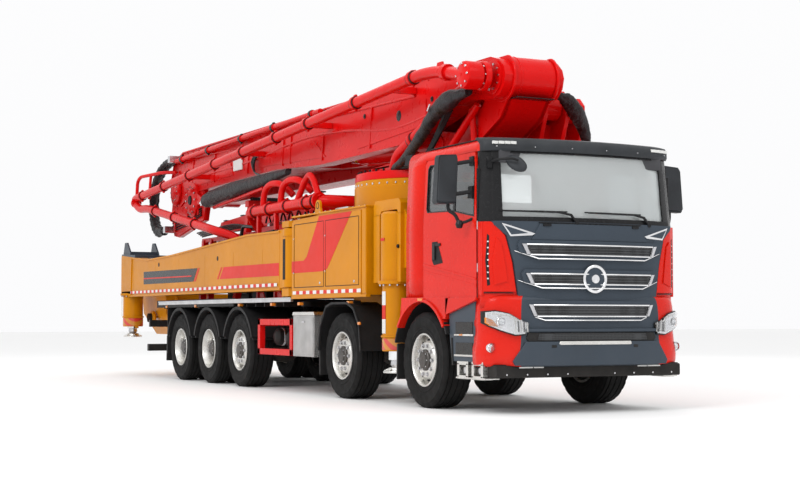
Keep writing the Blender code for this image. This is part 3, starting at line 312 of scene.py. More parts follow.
# ---------------------------------------------------------------- geometry
class Piece:
    """Gathers shapes into one object that rides on a body."""

    def __init__(self, name, *materials):
        self.name = name
        self.materials = materials
        self.points, self.faces, self.marks = [], [], []

    def add(self, points, faces, mark=0):
        base = len(self.points)
        self.points += [tuple(p) for p in points]
        self.faces += [tuple(base + i for i in face) for face in faces]
        self.marks += [mark] * len(faces)
        return self

    def box(self, x, y, z, mark=0):
        x, y, z = sorted(x), sorted(y), sorted(z)
        points = [(x[i], y[j], z[k]) for i in (0, 1) for j in (0, 1) for k in (0, 1)]
        faces = [(0, 1, 3, 2), (4, 6, 7, 5), (0, 4, 5, 1), (2, 3, 7, 6), (0, 2, 6, 4), (1, 5, 7, 3)]
        return self.add(points, faces, mark)

    def plate(self, outline, across, plane="XZ", mark=0):
        """An outline with thickness: XZ between two y, YZ between two x, or XY between two z."""
        low, high = sorted(across)
        n = len(outline)
        area = sum(outline[i - 1][0] * outline[i][1] - outline[i][0] * outline[i - 1][1] for i in range(n))
        flip = area < 0
        if plane == "XZ":
            flip = not flip
        ring = list(reversed(outline)) if flip else list(outline)
        lay = {"XZ": lambda u, v, w: (u, w, v), "YZ": lambda u, v, w: (w, u, v), "XY": lambda u, v,
               w: (u, v, w)}[plane]
        points = [lay(u, v, low) for u, v in ring] + [lay(u, v, high) for u, v in ring]
        faces = [tuple(reversed(range(n))), tuple(range(n, 2 * n))]
        faces += [(i, (i + 1) % n, n + (i + 1) % n, n + i) for i in range(n)]
        return self.add(points, faces, mark)

    def tube(self, path, radius, sides=12, mark=0, closed=False, flat=1.0):
        """A round tube along a path; radius is one value or one for each point."""
        path = [Vector(p) for p in path]
        radii = radius if isinstance(radius, (list, tuple)) else [radius] * len(path)
        n = len(path)
        normal = None
        points = []
        for i, point in enumerate(path):
            before = path[i - 1] if i or closed else point
            after = path[(i + 1) % n] if i < n - 1 or closed else point
            along = (after - before).normalized()
            if normal is None:
                normal = along.orthogonal().normalized()
            normal = (normal - along * normal.dot(along)).normalized()
            side = along.cross(normal)
            for k in range(sides):
                a = 2 * math.pi * k / sides
                points.append(point + (normal * math.cos(a) + side * math.sin(a) * flat) * radii[i])
        faces = []
        for i in range(n if closed else n - 1):
            a, b = i * sides, ((i + 1) % n) * sides
            faces += [(a + k, a + (k + 1) % sides, b + (k + 1) % sides, b + k) for k in range(sides)]
        if not closed:
            faces += [tuple(reversed(range(sides))), tuple(range((n - 1) * sides, n * sides))]
        return self.add(points, faces, mark)

    def rod(self, start, end, radius, sides=16, mark=0, end_radius=None):
        return self.tube([start, end], [radius, radius if end_radius is None else end_radius], sides, mark)

    def turn(self, profile, centre, axis="Y", sides=48, mark=0, flip=False):
        """A closed or open profile of (radius, along) pairs turned about an axis through centre."""
        cx, cy, cz = centre
        points = []
        for r, h in profile:
            for k in range(sides):
                a = 2 * math.pi * k / sides
                u, v = r * math.cos(a), r * math.sin(a)
                if axis == "Y":
                    points.append((cx + u, cy + h, cz + v))
                elif axis == "Z":
                    points.append((cx + u, cy + v, cz + h))
                else:
                    points.append((cx + h, cy + u, cz + v))
        faces = []
        for i in range(len(profile) - 1):
            a, b = i * sides, (i + 1) * sides
            for k in range(sides):
                face = (a + k, a + (k + 1) % sides, b + (k + 1) % sides, b + k)
                faces.append(face if (axis == "Y") != flip else face[::-1])
        return self.add(points, faces, mark)

    def bolts(self, centre, circle, count, size, depth, axis="Y", mark=0, sign=-1, start=0.0):
        """Hexagon heads on a pitch circle."""
        c = Vector(centre)
        for k in range(count):
            a = start + 2 * math.pi * k / count
            u, v = circle * math.cos(a), circle * math.sin(a)
            if axis == "Y":
                at, out = c + Vector((u, 0, v)), Vector((0, sign * depth, 0))
            elif axis == "Z":
                at, out = c + Vector((u, v, 0)), Vector((0, 0, sign * depth))
            else:
                at, out = c + Vector((0, u, v)), Vector((sign * depth, 0, 0))
            self.rod(at, at + out, size, 6, mark)
        return self

    def row(self, start, end, count, size, out, mark=0):
        """Bolt heads in a line."""
        start, end, out = Vector(start), Vector(end), Vector(out)
        for k in range(count):
            at = start.lerp(end, k / max(1, count - 1))
            self.rod(at, at + out, size, 6, mark)
        return self

    def mirrored(self, name):
        """The same shapes on the other side of the truck."""
        other = Piece(name, *self.materials)
        other.points = [(x, -y, z) for x, y, z in self.points]
        other.faces = [face[::-1] for face in self.faces]
        other.marks = list(self.marks)
        return other

    def make(self, body, slot=None, bevel=0.0, replaces=(), segments=2, smooth=35.0, change=None):
        mesh = bpy.data.meshes.new(self.name)
        low, high = cad_box
        # A bolt or boss that stands proud of the CAD box is pressed back to it.
        inside = [(max(x + FRONT, low[0] + BACK_MARGIN), y, min(z, high[2] - TOP_MARGIN)) for x, y,
                  z in self.points]
        mesh.from_pydata(inside, [], self.faces)
        for material in self.materials:
            mesh.materials.append(material)
        mesh.polygons.foreach_set("material_index", self.marks)
        bm = bmesh.new()
        bm.from_mesh(mesh)
        bmesh.ops.recalc_face_normals(bm, faces=bm.faces)
        if change:
            change(bm)
        bm.to_mesh(mesh)
        bm.free()
        obj = bpy.data.objects.new(self.name, mesh)
        bpy.context.scene.collection.objects.link(obj)
        mesh.shade_smooth()
        mesh.set_sharp_from_angle(angle=math.radians(smooth))
        if bevel:
            edges = obj.modifiers.new("edges", "BEVEL")
            edges.width = bevel
            edges.segments = segments
            edges.limit_method = "ANGLE"
            edges.angle_limit = math.radians(38)
            edges.use_clamp_overlap = True
            weigh = obj.modifiers.new("normals", "WEIGHTED_NORMAL")
            weigh.keep_sharp = True
        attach(obj, body)
        if replaces:
            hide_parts(*([replaces] if isinstance(replaces, str) else replaces))
        return obj


def both(piece, body, **options):
    """Makes a right-hand piece and its mirror image. Names and bodies swap right for left."""
    nodes = options.pop("replaces", ())
    nodes = [nodes] if isinstance(nodes, str) else list(nodes)
    left = piece.mirrored(piece.name.replace("right", "left"))
    piece.make(body, replaces=nodes, **options)
    left.make(body.replace("right", "left"), replaces=[n.replace("right", "left") for n in nodes], **options)


def arc(centre, radius, start, end, steps):
    """(u, v) points on an arc, angles in degrees."""
    angles = [math.radians(start + (end - start) * k / steps) for k in range(steps + 1)]
    return [(centre[0] + radius * math.cos(a), centre[1] + radius * math.sin(a)) for a in angles]


def smooth_path(points, bend, steps=6):
    """A path with each corner rounded."""
    points = [Vector(p) for p in points]
    path = [points[0]]
    for before, corner, after in zip(points, points[1:], points[2:]):
        back, on = (before - corner), (after - corner)
        reach = min(bend, back.length * 0.49, on.length * 0.49)
        start, end = corner + back.normalized() * reach, corner + on.normalized() * reach
        for k in range(steps + 1):
            t = k / steps
            path.append(start * (1 - t) ** 2 + corner * 2 * t * (1 - t) + end * t * t)
    return path + [points[-1]]


# the plan line of the cab's front: x for each distance from the middle
FACE_Y = (0.0, 0.25, 0.50, 0.75, 1.00, 1.12, 1.20, 1.245)
FACE_X = (1.560, 1.553, 1.534, 1.500, 1.452, 1.412, 1.355, 1.290)


def front_x(y):
    return float(np.interp(abs(y), FACE_Y, FACE_X))


def wrap_front(bm):
    """Bends a flat panel, drawn as (stand-off, y, z), round the cab's front."""
    for y in (-1.2, -1.12, -1.0, -0.75, -0.5, -0.25, 0, 0.25, 0.5, 0.75, 1.0, 1.12, 1.2):
        bmesh.ops.bisect_plane(bm, geom=bm.verts[:] + bm.edges[:] + bm.faces[:], plane_co=(0, y, 0),
                               plane_no=(0, 1, 0))
    for vert in bm.verts:
        vert.co.x += front_x(vert.co.y)


# ---------------------------------------------------------------- wheels
def tyre_ring(piece, outer, width):
    """A tyre whose outer face is at depth `outer`: sidewall ribs, four grooves and notched shoulders."""
    half, sides = width / 2, 96
    profile = [(0.290, 0.030), (0.305, 0.016), (0.345, 0.010), (0.350, 0.004), (0.362, 0.004), (0.368, 0.008)]
    profile += [(0.42, 0.000), (0.468, 0.004), (0.484, 0.001), (0.500, 0.010), (0.520, 0.016), (0.534, 0.030)]
    for groove in (0.28, 0.60, 0.92):
        at = half * (1 - groove) if groove < 0.9 else 0
        start = half - at
        profile += [(0.5395, start - 0.007), (0.527, start - 0.004), (0.527, start + 0.004),
                    (0.5395, start + 0.007)]
    profile = [p for p in profile if p[1] < half] + [(0.527, half)]
    profile += [(r, width - d) for r, d in reversed(profile[:-1])]
    profile += [(0.285, width - 0.05), (0.285, 0.05), profile[0]]
    first = len(piece.points)
    piece.turn([(r, outer + d) for r, d in profile], (0, 0, 0), sides=sides)
    for i, (r, d) in enumerate(profile):
        if 0.49 < r and min(d, width - d) < 0.04:
            for k in range(sides):
                if k % 4 == 0:
                    x, y, z = piece.points[first + i * sides + k]
                    piece.points[first + i * sides + k] = (x * 0.978, y, z * 0.978)


def wheel(index, twin):
    name = f"right_wheel_{index}"
    piece = Piece(f"{name}_look", tyre, rim_silver, hub_dark, steel, black_plastic)
    y = -1.235
    if twin:
        tyre_ring(piece, y, 0.290)
        tyre_ring(piece, y + 0.330, 0.290)
        rim = [(0.304, 0.022), (0.300, 0.010), (0.288, 0.008), (0.281, 0.018), (0.276, 0.050), (0.262, 0.075)]
        rim += [(0.257, 0.150), (0.250, 0.172), (0.225, 0.180), (0.190, 0.165), (0.150, 0.160),
                (0.126, 0.160)]
        rim += [(0.126, 0.190), (0.262, 0.200), (0.262, 0.600), (0.290, 0.612)]
        hub = [(0.127, 0.170), (0.125, 0.080), (0.117, 0.062), (0.085, 0.055), (0.080, 0.045), (0.0, 0.043)]
        nuts, holes = 0.160, (0.222, 0.176)
    else:
        tyre_ring(piece, y, 0.370)
        rim = [(0.304, 0.022), (0.300, 0.010), (0.288, 0.006), (0.280, 0.014), (0.274, 0.046), (0.264, 0.070)]
        rim += [(0.258, 0.110), (0.248, 0.112), (0.232, 0.088), (0.208, 0.050), (0.196, 0.036),
                (0.185, 0.032)]
        rim += [(0.122, 0.032), (0.122, 0.120), (0.262, 0.140), (0.262, 0.340), (0.292, 0.352)]
        hub = [(0.123, 0.060), (0.120, 0.016), (0.110, 0.006), (0.084, 0.002), (0.080, -0.010), (0.0, -0.011)]
        nuts, holes = 0.032, (0.221, 0.069)
    piece.turn([(r, y + d) for r, d in rim], (0, 0, 0), sides=64, mark=1)
    piece.turn([(r, y + d) for r, d in hub], (0, 0, 0), sides=40, mark=2)
    piece.bolts((0, y + nuts, 0), 0.1675, 10, 0.019, 0.022, mark=3)
    piece.bolts((0, y + nuts, 0), 0.1675, 10, 0.027, 0.006, mark=3)
    piece.bolts((0, y + hub[3][1], 0), 0.098, 8, 0.009, 0.008, mark=3)
    # the hand holes are black plastic discs: painted shade for the dark inside of the wheel seen through them
    for k in range(10):
        a = 2 * math.pi * (k + 0.5) / 10
        x, z = holes[0] * math.cos(a), holes[0] * math.sin(a)
        piece.turn([(0.0, -0.003), (0.021, -0.003), (0.023, 0.012)], (x, y + holes[1], z), sides=14, mark=4)
    a = 0.7
    piece.rod((0.245 * math.cos(a), y + 0.09, 0.245 * math.sin(a)),
              (0.205 * math.cos(a), y + 0.03, 0.205 * math.sin(a)), 0.006, 8, 3)
    piece.turn([(0.20, y + 0.30), (0.215, y + 0.24), (0.215, y + 0.20), (0.10, y + 0.19)], (0, 0, 0),
               sides=32, mark=2)
    piece.points = [(x + AXLES[index - 1], py, z + WHEEL_Z) for x, py, z in piece.points]
    both(piece, name, slot="tyre", replaces=name)


for number in range(1, 6):
    wheel(number, number > 3)


# ---------------------------------------------------------------- cab
def lean(x, y, z):
    """The cab's sides lean in and its screen leans back above the belt line."""
    t = min(max((z - 2.05) / 0.75, 0.0), 1.0)
    w = min(max((x - 1.0) / 0.4, 0.0), 1.0)
    return x - 0.07 * t * w, y * (1 - 0.030 * t), z


def leaning(bm):
    bmesh.ops.bisect_plane(bm, geom=bm.verts[:] + bm.edges[:] + bm.faces[:], plane_co=(0, 0, 2.05),
                           plane_no=(0, 0, 1))
    for vert in bm.verts:
        x, y, z = lean(vert.co.x - FRONT, vert.co.y, vert.co.z)
        vert.co = (x + FRONT, y, z)


HALF_PLAN = [(-0.47, 0.0), (-0.47, 0.50), (-0.47, 1.10), (-0.462, 1.195), (-0.42, 1.235), (0.02, 1.241),
             (0.60, 1.243),
             (1.00, 1.243), (1.20, 1.243), (1.262, 1.240), (1.30, 1.232), (1.345, 1.205), (1.39, 1.15),
             (1.425, 1.08),
             (1.452, 1.0), (1.50, 0.75), (1.534, 0.50), (1.553, 0.25), (1.56, 0.0)]
LEVELS = [(1.12, 0), (1.22, 0), (1.50, 0), (1.80, 0), (2.03, 0), (2.06, 0), (2.40, 0), (2.74, 0), (2.79, 0),
          (2.83, 0.006), (2.865, 0.022), (2.895, 0.05), (2.916, 0.10), (2.926, 0.17), (2.93, 0.30)]


def cab_skin():
    """Painted shell with openings for doors, screen and rear window, and a step up over the wheel."""
    piece = Piece("cab_shell_look", cab_red, gloss_black, cab_trim)
    ring = [(x, -y) for x, y in HALF_PLAN] + [(x, y) for x, y in reversed(HALF_PLAN[1:-1])]
    n = len(ring)
    for z, inset in LEVELS:
        for x, y in ring:
            r = math.hypot(x - 0.5, y)
            px, py, pz = lean(x, y, z)
            piece.points.append((px - inset * (px - 0.5) / r, py - inset * py / r, pz))
    for i in range(len(LEVELS) - 1):
        low, high = LEVELS[i][0], LEVELS[i + 1][0]
        for k in range(n):
            (x0, y0), (x1, y1) = ring[k], ring[(k + 1) % n]
            x, y = (x0 + x1) / 2, abs(y0 + y1) / 2
            in_door = 0.02 < x < 1.262 and y > 1.2 and 1.22 <= low and high <= 2.79
            in_screen = x > 1.40 and y < 1.08 and 2.06 <= low and high <= 2.79
            in_rear = x < -0.4 and y < 0.5 and 2.40 <= low and high <= 2.74
            over_wheel = high <= 1.22 and x < 1.3
            if in_door or in_screen or in_rear or over_wheel:
                continue
            a, b = i * n, (i + 1) * n
            dark = x > 1.25 and 2.03 <= low and high <= 2.80
            piece.add([piece.points[j] for j in (a + k, a + (k + 1) % n, b + (k + 1) % n, b + k)],
                      [(0, 1, 2, 3)], int(dark))
    top = (len(LEVELS) - 1) * n
    piece.add([piece.points[top + k] for k in range(n)], [tuple(range(n))])

    def thicken(bm):
        loose = [v for v in bm.verts if not v.link_faces]
        bmesh.ops.delete(bm, geom=loose, context="VERTS")
        bmesh.ops.remove_doubles(bm, verts=bm.verts, dist=0.0004)
        bmesh.ops.recalc_face_normals(bm, faces=bm.faces)
        if max(bm.faces, key=lambda f: f.calc_center_median().z).normal.z < 0:
            bmesh.ops.reverse_faces(bm, faces=bm.faces)

    shell = piece.make("chassis", "cab_red", replaces="cab_shell", change=thicken, smooth=50)
    thick = shell.modifiers.new("wall", "SOLIDIFY")
    thick.thickness = 0.035
    thick.offset = -1


cab_skin()

floor = Piece("cab_floor", cab_trim, black_plastic)
floor.box((-0.42, 0.62), (-1.19, 1.19), (1.22, 1.26)).box((0.62, 1.30), (-1.19, 1.19), (1.13, 1.17))
floor.box((0.60, 0.63), (-1.19, 1.19), (1.13, 1.26)).box((-0.40, 0.55), (-0.30, 0.30), (1.26, 1.55))
floor.box((-0.42, -0.36), (-1.10, 1.10), (1.30, 2.30), 1).box((-0.40, 0.02), (-1.12, 1.12), (1.50, 1.62), 1)
floor.make("chassis", "trim", bevel=0.01)

headliner = Piece("cab_headliner", cab_trim)
headliner.box((-0.36, 1.36), (-1.10, 1.10), (2.80, 2.83)).box((1.28, 1.40), (-1.04, 1.04), (2.66, 2.80))
for sign in (-1, 1):
    headliner.box((1.20, 1.34), (sign * 0.12, sign * 0.95), (2.60, 2.63))
headliner.make("chassis", "trim", bevel=0.008)

# windscreen with its printed black border
glass_pane = Piece("windscreen_look", screen_glass)
glass_pane.plate([(-1.075, 2.055), (1.075, 2.055), (1.075, 2.795), (-1.075, 2.795)], (-0.030, -0.022), "YZ")
glass_pane.make("chassis", "glass", replaces="windscreen", change=lambda bm: (wrap_front(bm), leaning(bm)),
                smooth=60)

border = Piece("windscreen_border", gloss_black)
for low, high, inner, outer in ((2.02, 2.085, -1.12, 1.12), (2.765, 2.80, -1.12, 1.12)):
    border.plate([(inner, low), (outer, low), (outer, high), (inner, high)], (-0.020, 0.004), "YZ")
for sign in (-1, 1):
    border.plate([(sign * 1.03, 2.04), (sign * 1.14, 2.04), (sign * 1.14, 2.79), (sign * 1.05, 2.79)],
                 (-0.020, 0.003), "YZ")
border.make("chassis", "trim", change=lambda bm: (wrap_front(bm), leaning(bm)), smooth=60)

visor = Piece("visor", mirror_shell, white_paint, steel, gloss_black)
section = [(0.0, 2.79), (0.030, 2.785), (0.052, 2.81), (0.050, 2.87), (0.020, 2.915), (-0.06, 2.936),
           (-0.10, 2.930), (-0.05, 2.90), (0.0, 2.86)]
span = [-1.235, -1.20, -1.15, -1.08, -1.0, -0.75, -0.5, -0.25, 0, 0.25, 0.5, 0.75, 1.0, 1.08, 1.15, 1.20,
        1.235]
for y in span:
    for dx, z in section:
        x, py, pz = lean(front_x(y) if abs(y) < 1.22 else 1.30, y, min(z, 2.80))
        visor.points.append((x + dx, py, z))
m = len(section)
for i in range(len(span) - 1):
    visor.faces += [(i * m + k, i * m + (k + 1) % m, (i + 1) * m + (k + 1) % m,
                     (i + 1) * m + k) for k in range(m)]
visor.faces += [tuple(range(m)), tuple(range((len(span) - 1) * m, len(span) * m))]
visor.marks += [0] * len(visor.faces)
for sign in (-1, 1):
    for k in range(4):
        y = sign * (0.90 + 0.065 * k)
        x = lean(front_x(y), y, 2.80)[0]
        visor.box((x + 0.035, x + 0.058), (y - 0.030, y + 0.030), (2.855, 2.885), 1)
    for y in (0.22, 0.66, 1.08):
        x = lean(front_x(y), y, 2.80)[0]
        visor.turn([(0.0, 0.058), (0.006, 0.057), (0.009, 0.045)], (x, sign * y, 2.83), "X", 10, 2)
visor.make("chassis", "trim", smooth=45)

roof = Piece("roof_fittings", cab_red, black_plastic, steel, gloss_black)
roof.plate([(-0.10, -0.42), (0.55, -0.42), (0.62, -0.35), (0.62, 0.35), (0.55, 0.42), (-0.10, 0.42)],
           (2.925, 2.945), "XY", 1)
for sign in (-1, 1):
    roof.tube(smooth_path([(-0.25, sign * 1.02, 2.91), (-0.20, sign * 1.02, 2.95), (1.15, sign * 1.02, 2.95),
                           (1.22, sign * 1.02, 2.91)], 0.03), 0.010, 8, 1)
roof.make("chassis", "cab_red", bevel=0.008)


def at_front(y, stand=0.0, z=1.5):
    return lean(front_x(y) + stand, y, z)[0]


# ---- wipers, round mirror
wipers = Piece("wipers", gloss_black, black_plastic, mirror_shell, mirror_glass)
for pivot, tip in ((-0.20, -1.02), (0.78, -0.04)):
    path = []
    for t in (0.0, 0.08, 0.25, 0.5, 0.75, 1.0):
        y = pivot + (tip - pivot) * t
        z = 2.035 + (0.105 if t > 0.05 else 0.0) * (1 if t > 0.1 else 0.75)
        path.append((at_front(y, 0.028 if t < 0.2 else 0.020, z), y, z))
    wipers.tube(path, [0.016, 0.015, 0.011, 0.010, 0.008, 0.006], 8)
    blade = [(at_front(pivot + (tip - pivot) * t, 0.010, 2.14), pivot + (tip - pivot) * t,
              2.146) for t in (0.12, 0.35, 0.6, 0.85, 1.05)]
    wipers.tube(blade, 0.008, 6, 1)
    wipers.rod((at_front(pivot, 0.0, 2.03), pivot, 2.03), (at_front(pivot, 0.045, 2.03), pivot, 2.03), 0.022,
               12, 1)
arm = [(at_front(-1.14, 0.01, 2.66), -1.14, 2.66), (at_front(-1.10, 0.09, 2.68), -1.10, 2.685),
       (1.60, -1.00, 2.685), (1.61, -0.94, 2.665)]
wipers.tube(smooth_path(arm, 0.05), 0.014, 10, 1)
wipers.box((at_front(-1.14, -0.01, 2.6), at_front(-1.14, 0.035, 2.6)), (-1.17, -1.12), (2.60, 2.72), 0)
bowl = [(0.0, -0.028), (0.05, -0.024), (0.082, -0.006), (0.090, 0.010), (0.088, 0.022), (0.080, 0.016),
        (0.0, 0.012)]
base = len(wipers.points)
wipers.turn(bowl, (0, 0, 0), "Z", 32, 2)
turn = Matrix.Translation((1.555, -0.925, 2.645)) @ Matrix.Rotation(0.45, 4, "X") @ Matrix.Rotation(0.75, 4,
    "Y") @ Matrix.Rotation(math.pi, 4, "X")
for i in range(base, len(wipers.points)):
    x, y, z = wipers.points[i]
    wipers.points[i] = tuple(turn @ Vector((x * 1.5, y * 1.0, z)))
wipers.make("chassis", "trim", smooth=50)


# ---- doors with their mirrors
def door():
    piece = Piece("right_door_look", cab_red, gloss_black, side_glass, mirror_shell, black_plastic,
                  mirror_glass, cab_trim, steel)
    edge = [(0.030, 1.225), (1.250, 1.225), (1.250, 2.03), (1.235, 2.70), (1.19, 2.785), (0.075, 2.785),
            (0.032, 2.74)]
    window = [(0.105, 2.24), (0.13, 2.205), (0.72, 2.185), (1.195, 2.105), (1.190, 2.66), (1.165, 2.70),
              (0.15, 2.72), (0.108, 2.68)]
    outer_y, inner_y = -1.245, -1.20
    n, w = len(edge), len(window)
    for y in (outer_y, inner_y):
        start = len(piece.points)
        piece.points += [(x, y, z) for x, z in edge + window]
        quads = [(0, 1, n + 3, n + 2, n + 1, n + 0), (1, 2, n + 3), (2, 3, n + 4, n + 3),
                 (3, 4, n + 5, n + 4),
                 (4, 5, n + 6, n + 5), (5, 6, n + 7, n + 6), (6, 0, n + 0, n + 7)]
        piece.faces += [tuple(start + i for i in quad) for quad in quads]
        piece.marks += [0 if y == outer_y else 6] * len(quads)
    s, t = 0, n + w
    piece.faces += [(s + i, s + (i + 1) % n, t + (i + 1) % n, t + i) for i in range(n)]
    piece.faces += [(s + n + i, s + n + (i + 1) % w, t + n + (i + 1) % w, t + n + i) for i in range(w)]
    piece.marks += [0] * n + [1] * w
    # glass, black surround and the bar between quarter light and main window
    piece.plate([(0.09, 2.19), (1.20, 2.10), (1.20, 2.71), (0.09, 2.73)], (-1.228, -1.222), mark=2)
    piece.plate([(0.70, 2.18), (0.745, 2.18), (0.745, 2.71), (0.70, 2.71)], (-1.236, -1.218), mark=1)
    ring = [(x, z) for x, z in window]
    cx, cz = 0.65, 2.45
    for i in range(w):
        (x0, z0), (x1, z1) = ring[i], ring[(i + 1) % w]
        bigger = [((x - cx) * 1.022 + cx, (z - cz) * 1.045 + cz) for x, z in ((x1, z1), (x0, z0))]
        piece.plate([(x0, z0), (x1, z1)] + bigger, (-1.249, -1.236), mark=1)
    # recessed handle
    piece.plate([(0.245, 1.86), (0.375, 1.86), (0.50, 1.62), (0.29, 1.60), (0.245, 1.65)], (-1.2475, -1.236),
                mark=4)
    piece.box((0.27, 0.33), (-1.262, -1.24), (1.66, 1.83), 1)
    piece.box((0.27, 0.45), (-1.258, -1.24), (1.81, 1.84), 1)
    # two pressed lines
    for z0, z1, depth in ((1.625, 1.435, 0.008), (1.555, 1.365, 0.004)):
        piece.plate([(0.032, z0), (1.248, z1), (1.248, z1 - 0.022), (0.032, z0 - 0.022)],
                    (-1.245 - depth, -1.236), mark=0)
    # mirror arms, big mirror box, small lower mirror
    for z in (2.66, 2.33):
        piece.tube(smooth_path([(1.16, -1.235, z + 0.03), (1.10, -1.32, z + 0.02), (1.02, -1.42, z),
                                (1.00, -1.46, z)], 0.06), [0.022] * 16, 10, 4)
    piece.box((1.09, 1.19), (-1.27, -1.235), (2.29, 2.42), 4)
    piece.box((1.09, 1.19), (-1.265, -1.235), (2.64, 2.74), 4)
    shell = [(-1.392, 2.235), (-1.60, 2.225), (-1.618, 2.25), (-1.618, 2.72), (-1.602, 2.75), (-1.405, 2.765),
             (-1.388, 2.74)]
    piece.plate(shell, (0.935, 1.035), "YZ", 3)
    piece.plate([(y * 0.94 - 0.09, 2.495 + (z - 2.495) * 0.92) for y, z in shell], (1.035, 1.062), "YZ", 3)
    piece.plate([(-1.405, 2.42), (-1.60, 2.42), (-1.60, 2.725), (-1.415, 2.74)], (0.928, 0.936), "YZ", 5)
    piece.plate([(-1.405, 2.255), (-1.60, 2.245), (-1.60, 2.395), (-1.405, 2.40)], (0.928, 0.936), "YZ", 5)
    piece.tube(smooth_path([(1.00, -1.46, 2.24), (1.00, -1.455, 2.16), (1.06, -1.40, 2.12),
                            (1.08, -1.36, 2.03)], 0.05), 0.019, 10, 4)
    piece.turn([(0.0, -0.045), (0.030, -0.040), (0.044, 0.0), (0.030, 0.042), (0.0, 0.046)],
               (1.08, -1.355, 2.01), "Z", 20, 1)
    piece.tube(smooth_path([(1.08, -1.355, 2.02), (1.13, -1.29, 2.04), (1.16, -1.24, 2.07)], 0.03), 0.016, 8,
               4)
    # inner handle and hinge plates
    piece.box((0.30, 1.05), (-1.202, -1.165), (1.62, 1.70), 6).box((0.20, 0.40), (-1.20, -1.17), (1.86, 1.92),
        4)
    for z in (1.50, 1.95):
        piece.rod((1.262, -1.236, z), (1.262, -1.236, z + 0.09), 0.008, 8, 7)
    both(piece, "right_door", slot="cab_red", replaces="right_door", bevel=0.004, change=leaning)


door()


# ---------------------------------------------------------------- cab inside
for side_name, y, node in (("passenger", -0.62, "passenger_seat"), ("driver", 0.62, "driver_seat")):
    seat = Piece(f"{side_name}_seat_look", seat_cloth, black_plastic, steel)
    seat.box((0.02, 0.56), (y - 0.24, y + 0.24), (1.62, 1.75))
    for s in (-1, 1):
        seat.box((0.0, 0.54), (y + s * 0.20, y + s * 0.27), (1.64, 1.79))
        seat.plate([(0.02, 1.75), (0.16, 1.75), (0.02, 2.36), (-0.08, 2.36)], (y + s * 0.17, y + s * 0.25))
        seat.rod((-0.06, y + s * 0.07, 2.36), (-0.07, y + s * 0.07, 2.46), 0.008, 8, 2)
    seat.plate([(0.0, 1.72), (0.12, 1.72), (-0.01, 2.38), (-0.10, 2.38)], (y - 0.22, y + 0.22))
    seat.plate([(-0.02, 2.42), (0.0, 2.44), (-0.03, 2.58), (-0.09, 2.58), (-0.12, 2.44), (-0.10, 2.42)],
               (y - 0.13, y + 0.13))
    seat.box((0.06, 0.50), (y - 0.19, y + 0.19), (1.30, 1.60), 1).box((0.02, 0.54), (y - 0.21, y + 0.21),
        (1.26, 1.31), 1)
    seat.make("chassis", "trim", bevel=0.03, segments=3, replaces=node)

dash = Piece("dashboard_look", cab_trim, gloss_black, black_plastic, side_glass)
dash.plate([(1.00, 1.60), (1.14, 1.42), (1.29, 1.42), (1.31, 1.95), (1.24, 1.985), (1.05, 1.95),
            (0.98, 1.86)], (-1.07, 1.07))
dash.plate([(1.02, 1.92), (1.05, 2.03), (1.20, 2.04), (1.26, 1.97)], (0.34, 0.92))
dash.plate([(1.018, 1.925), (1.045, 2.015), (1.050, 2.015), (1.024, 1.925)], (0.38, 0.88), mark=3)
dash.plate([(0.97, 1.66), (0.975, 1.90), (1.01, 1.90), (1.01, 1.66)], (-0.22, 0.26), mark=1)
for y in (-0.92, -0.42, 0.28, 0.97):
    for k in range(5):
        dash.box((0.965, 0.99), (y - 0.07, y + 0.07), (1.845 - 0.018 * k, 1.855 - 0.018 * k), 2)
dash.box((1.10, 1.28), (-1.05, 1.05), (1.18, 1.44), 2)
dash.make("chassis", "trim", bevel=0.012, replaces="dashboard")

wheel_ring = Piece("steering_wheel_look", black_plastic, cab_trim)
centre, axis = Vector((0.80, 0.62, 1.98)), Vector((-0.42, 0, 0.90)).normalized()
u_axis, v_axis = Vector((0.90, 0, 0.42)).normalized(), Vector((0, 1, 0))
ring = [centre + (u_axis * math.cos(a) + v_axis * math.sin(a)) * 0.215 for a in np.linspace(0, 2 * math.pi,
    48, endpoint=False)]
wheel_ring.tube(ring, 0.015, 10, closed=True)
for a in (math.pi / 2, -math.pi / 2, math.pi):
    tip = centre + (u_axis * math.cos(a) + v_axis * math.sin(a)) * 0.21
    wheel_ring.tube([centre - axis * 0.02, tip], [0.028, 0.014], 8, 1, flat=0.5)
wheel_ring.rod(centre - axis * 0.05, centre + axis * 0.005, 0.06, 24, 1)
wheel_ring.rod(centre - axis * 0.05, centre - axis * 0.40, 0.028, 12)
wheel_ring.make("chassis", "trim", replaces="steering_wheel", smooth=60)


# ---------------------------------------------------------------- front panel
def bend(table_y, table_x):
    """A change that wraps a flat panel, drawn as (stand-off, y, z), round a plan line."""
    def change(bm):
        for y in table_y[1:]:
            for sign in (-1, 1):
                bmesh.ops.bisect_plane(bm, geom=bm.verts[:] + bm.edges[:] + bm.faces[:],
                                       plane_co=(0, sign * y, 0), plane_no=(0, 1, 0))
        for vert in bm.verts:
            vert.co.x += float(np.interp(abs(vert.co.y), table_y, table_x))
    return change


def pair(outline):
    """A half outline, given down the right-hand side, closed by its mirror image."""
    return [(-y, z) for y, z in outline] + [(y, z) for y, z in reversed(outline)]


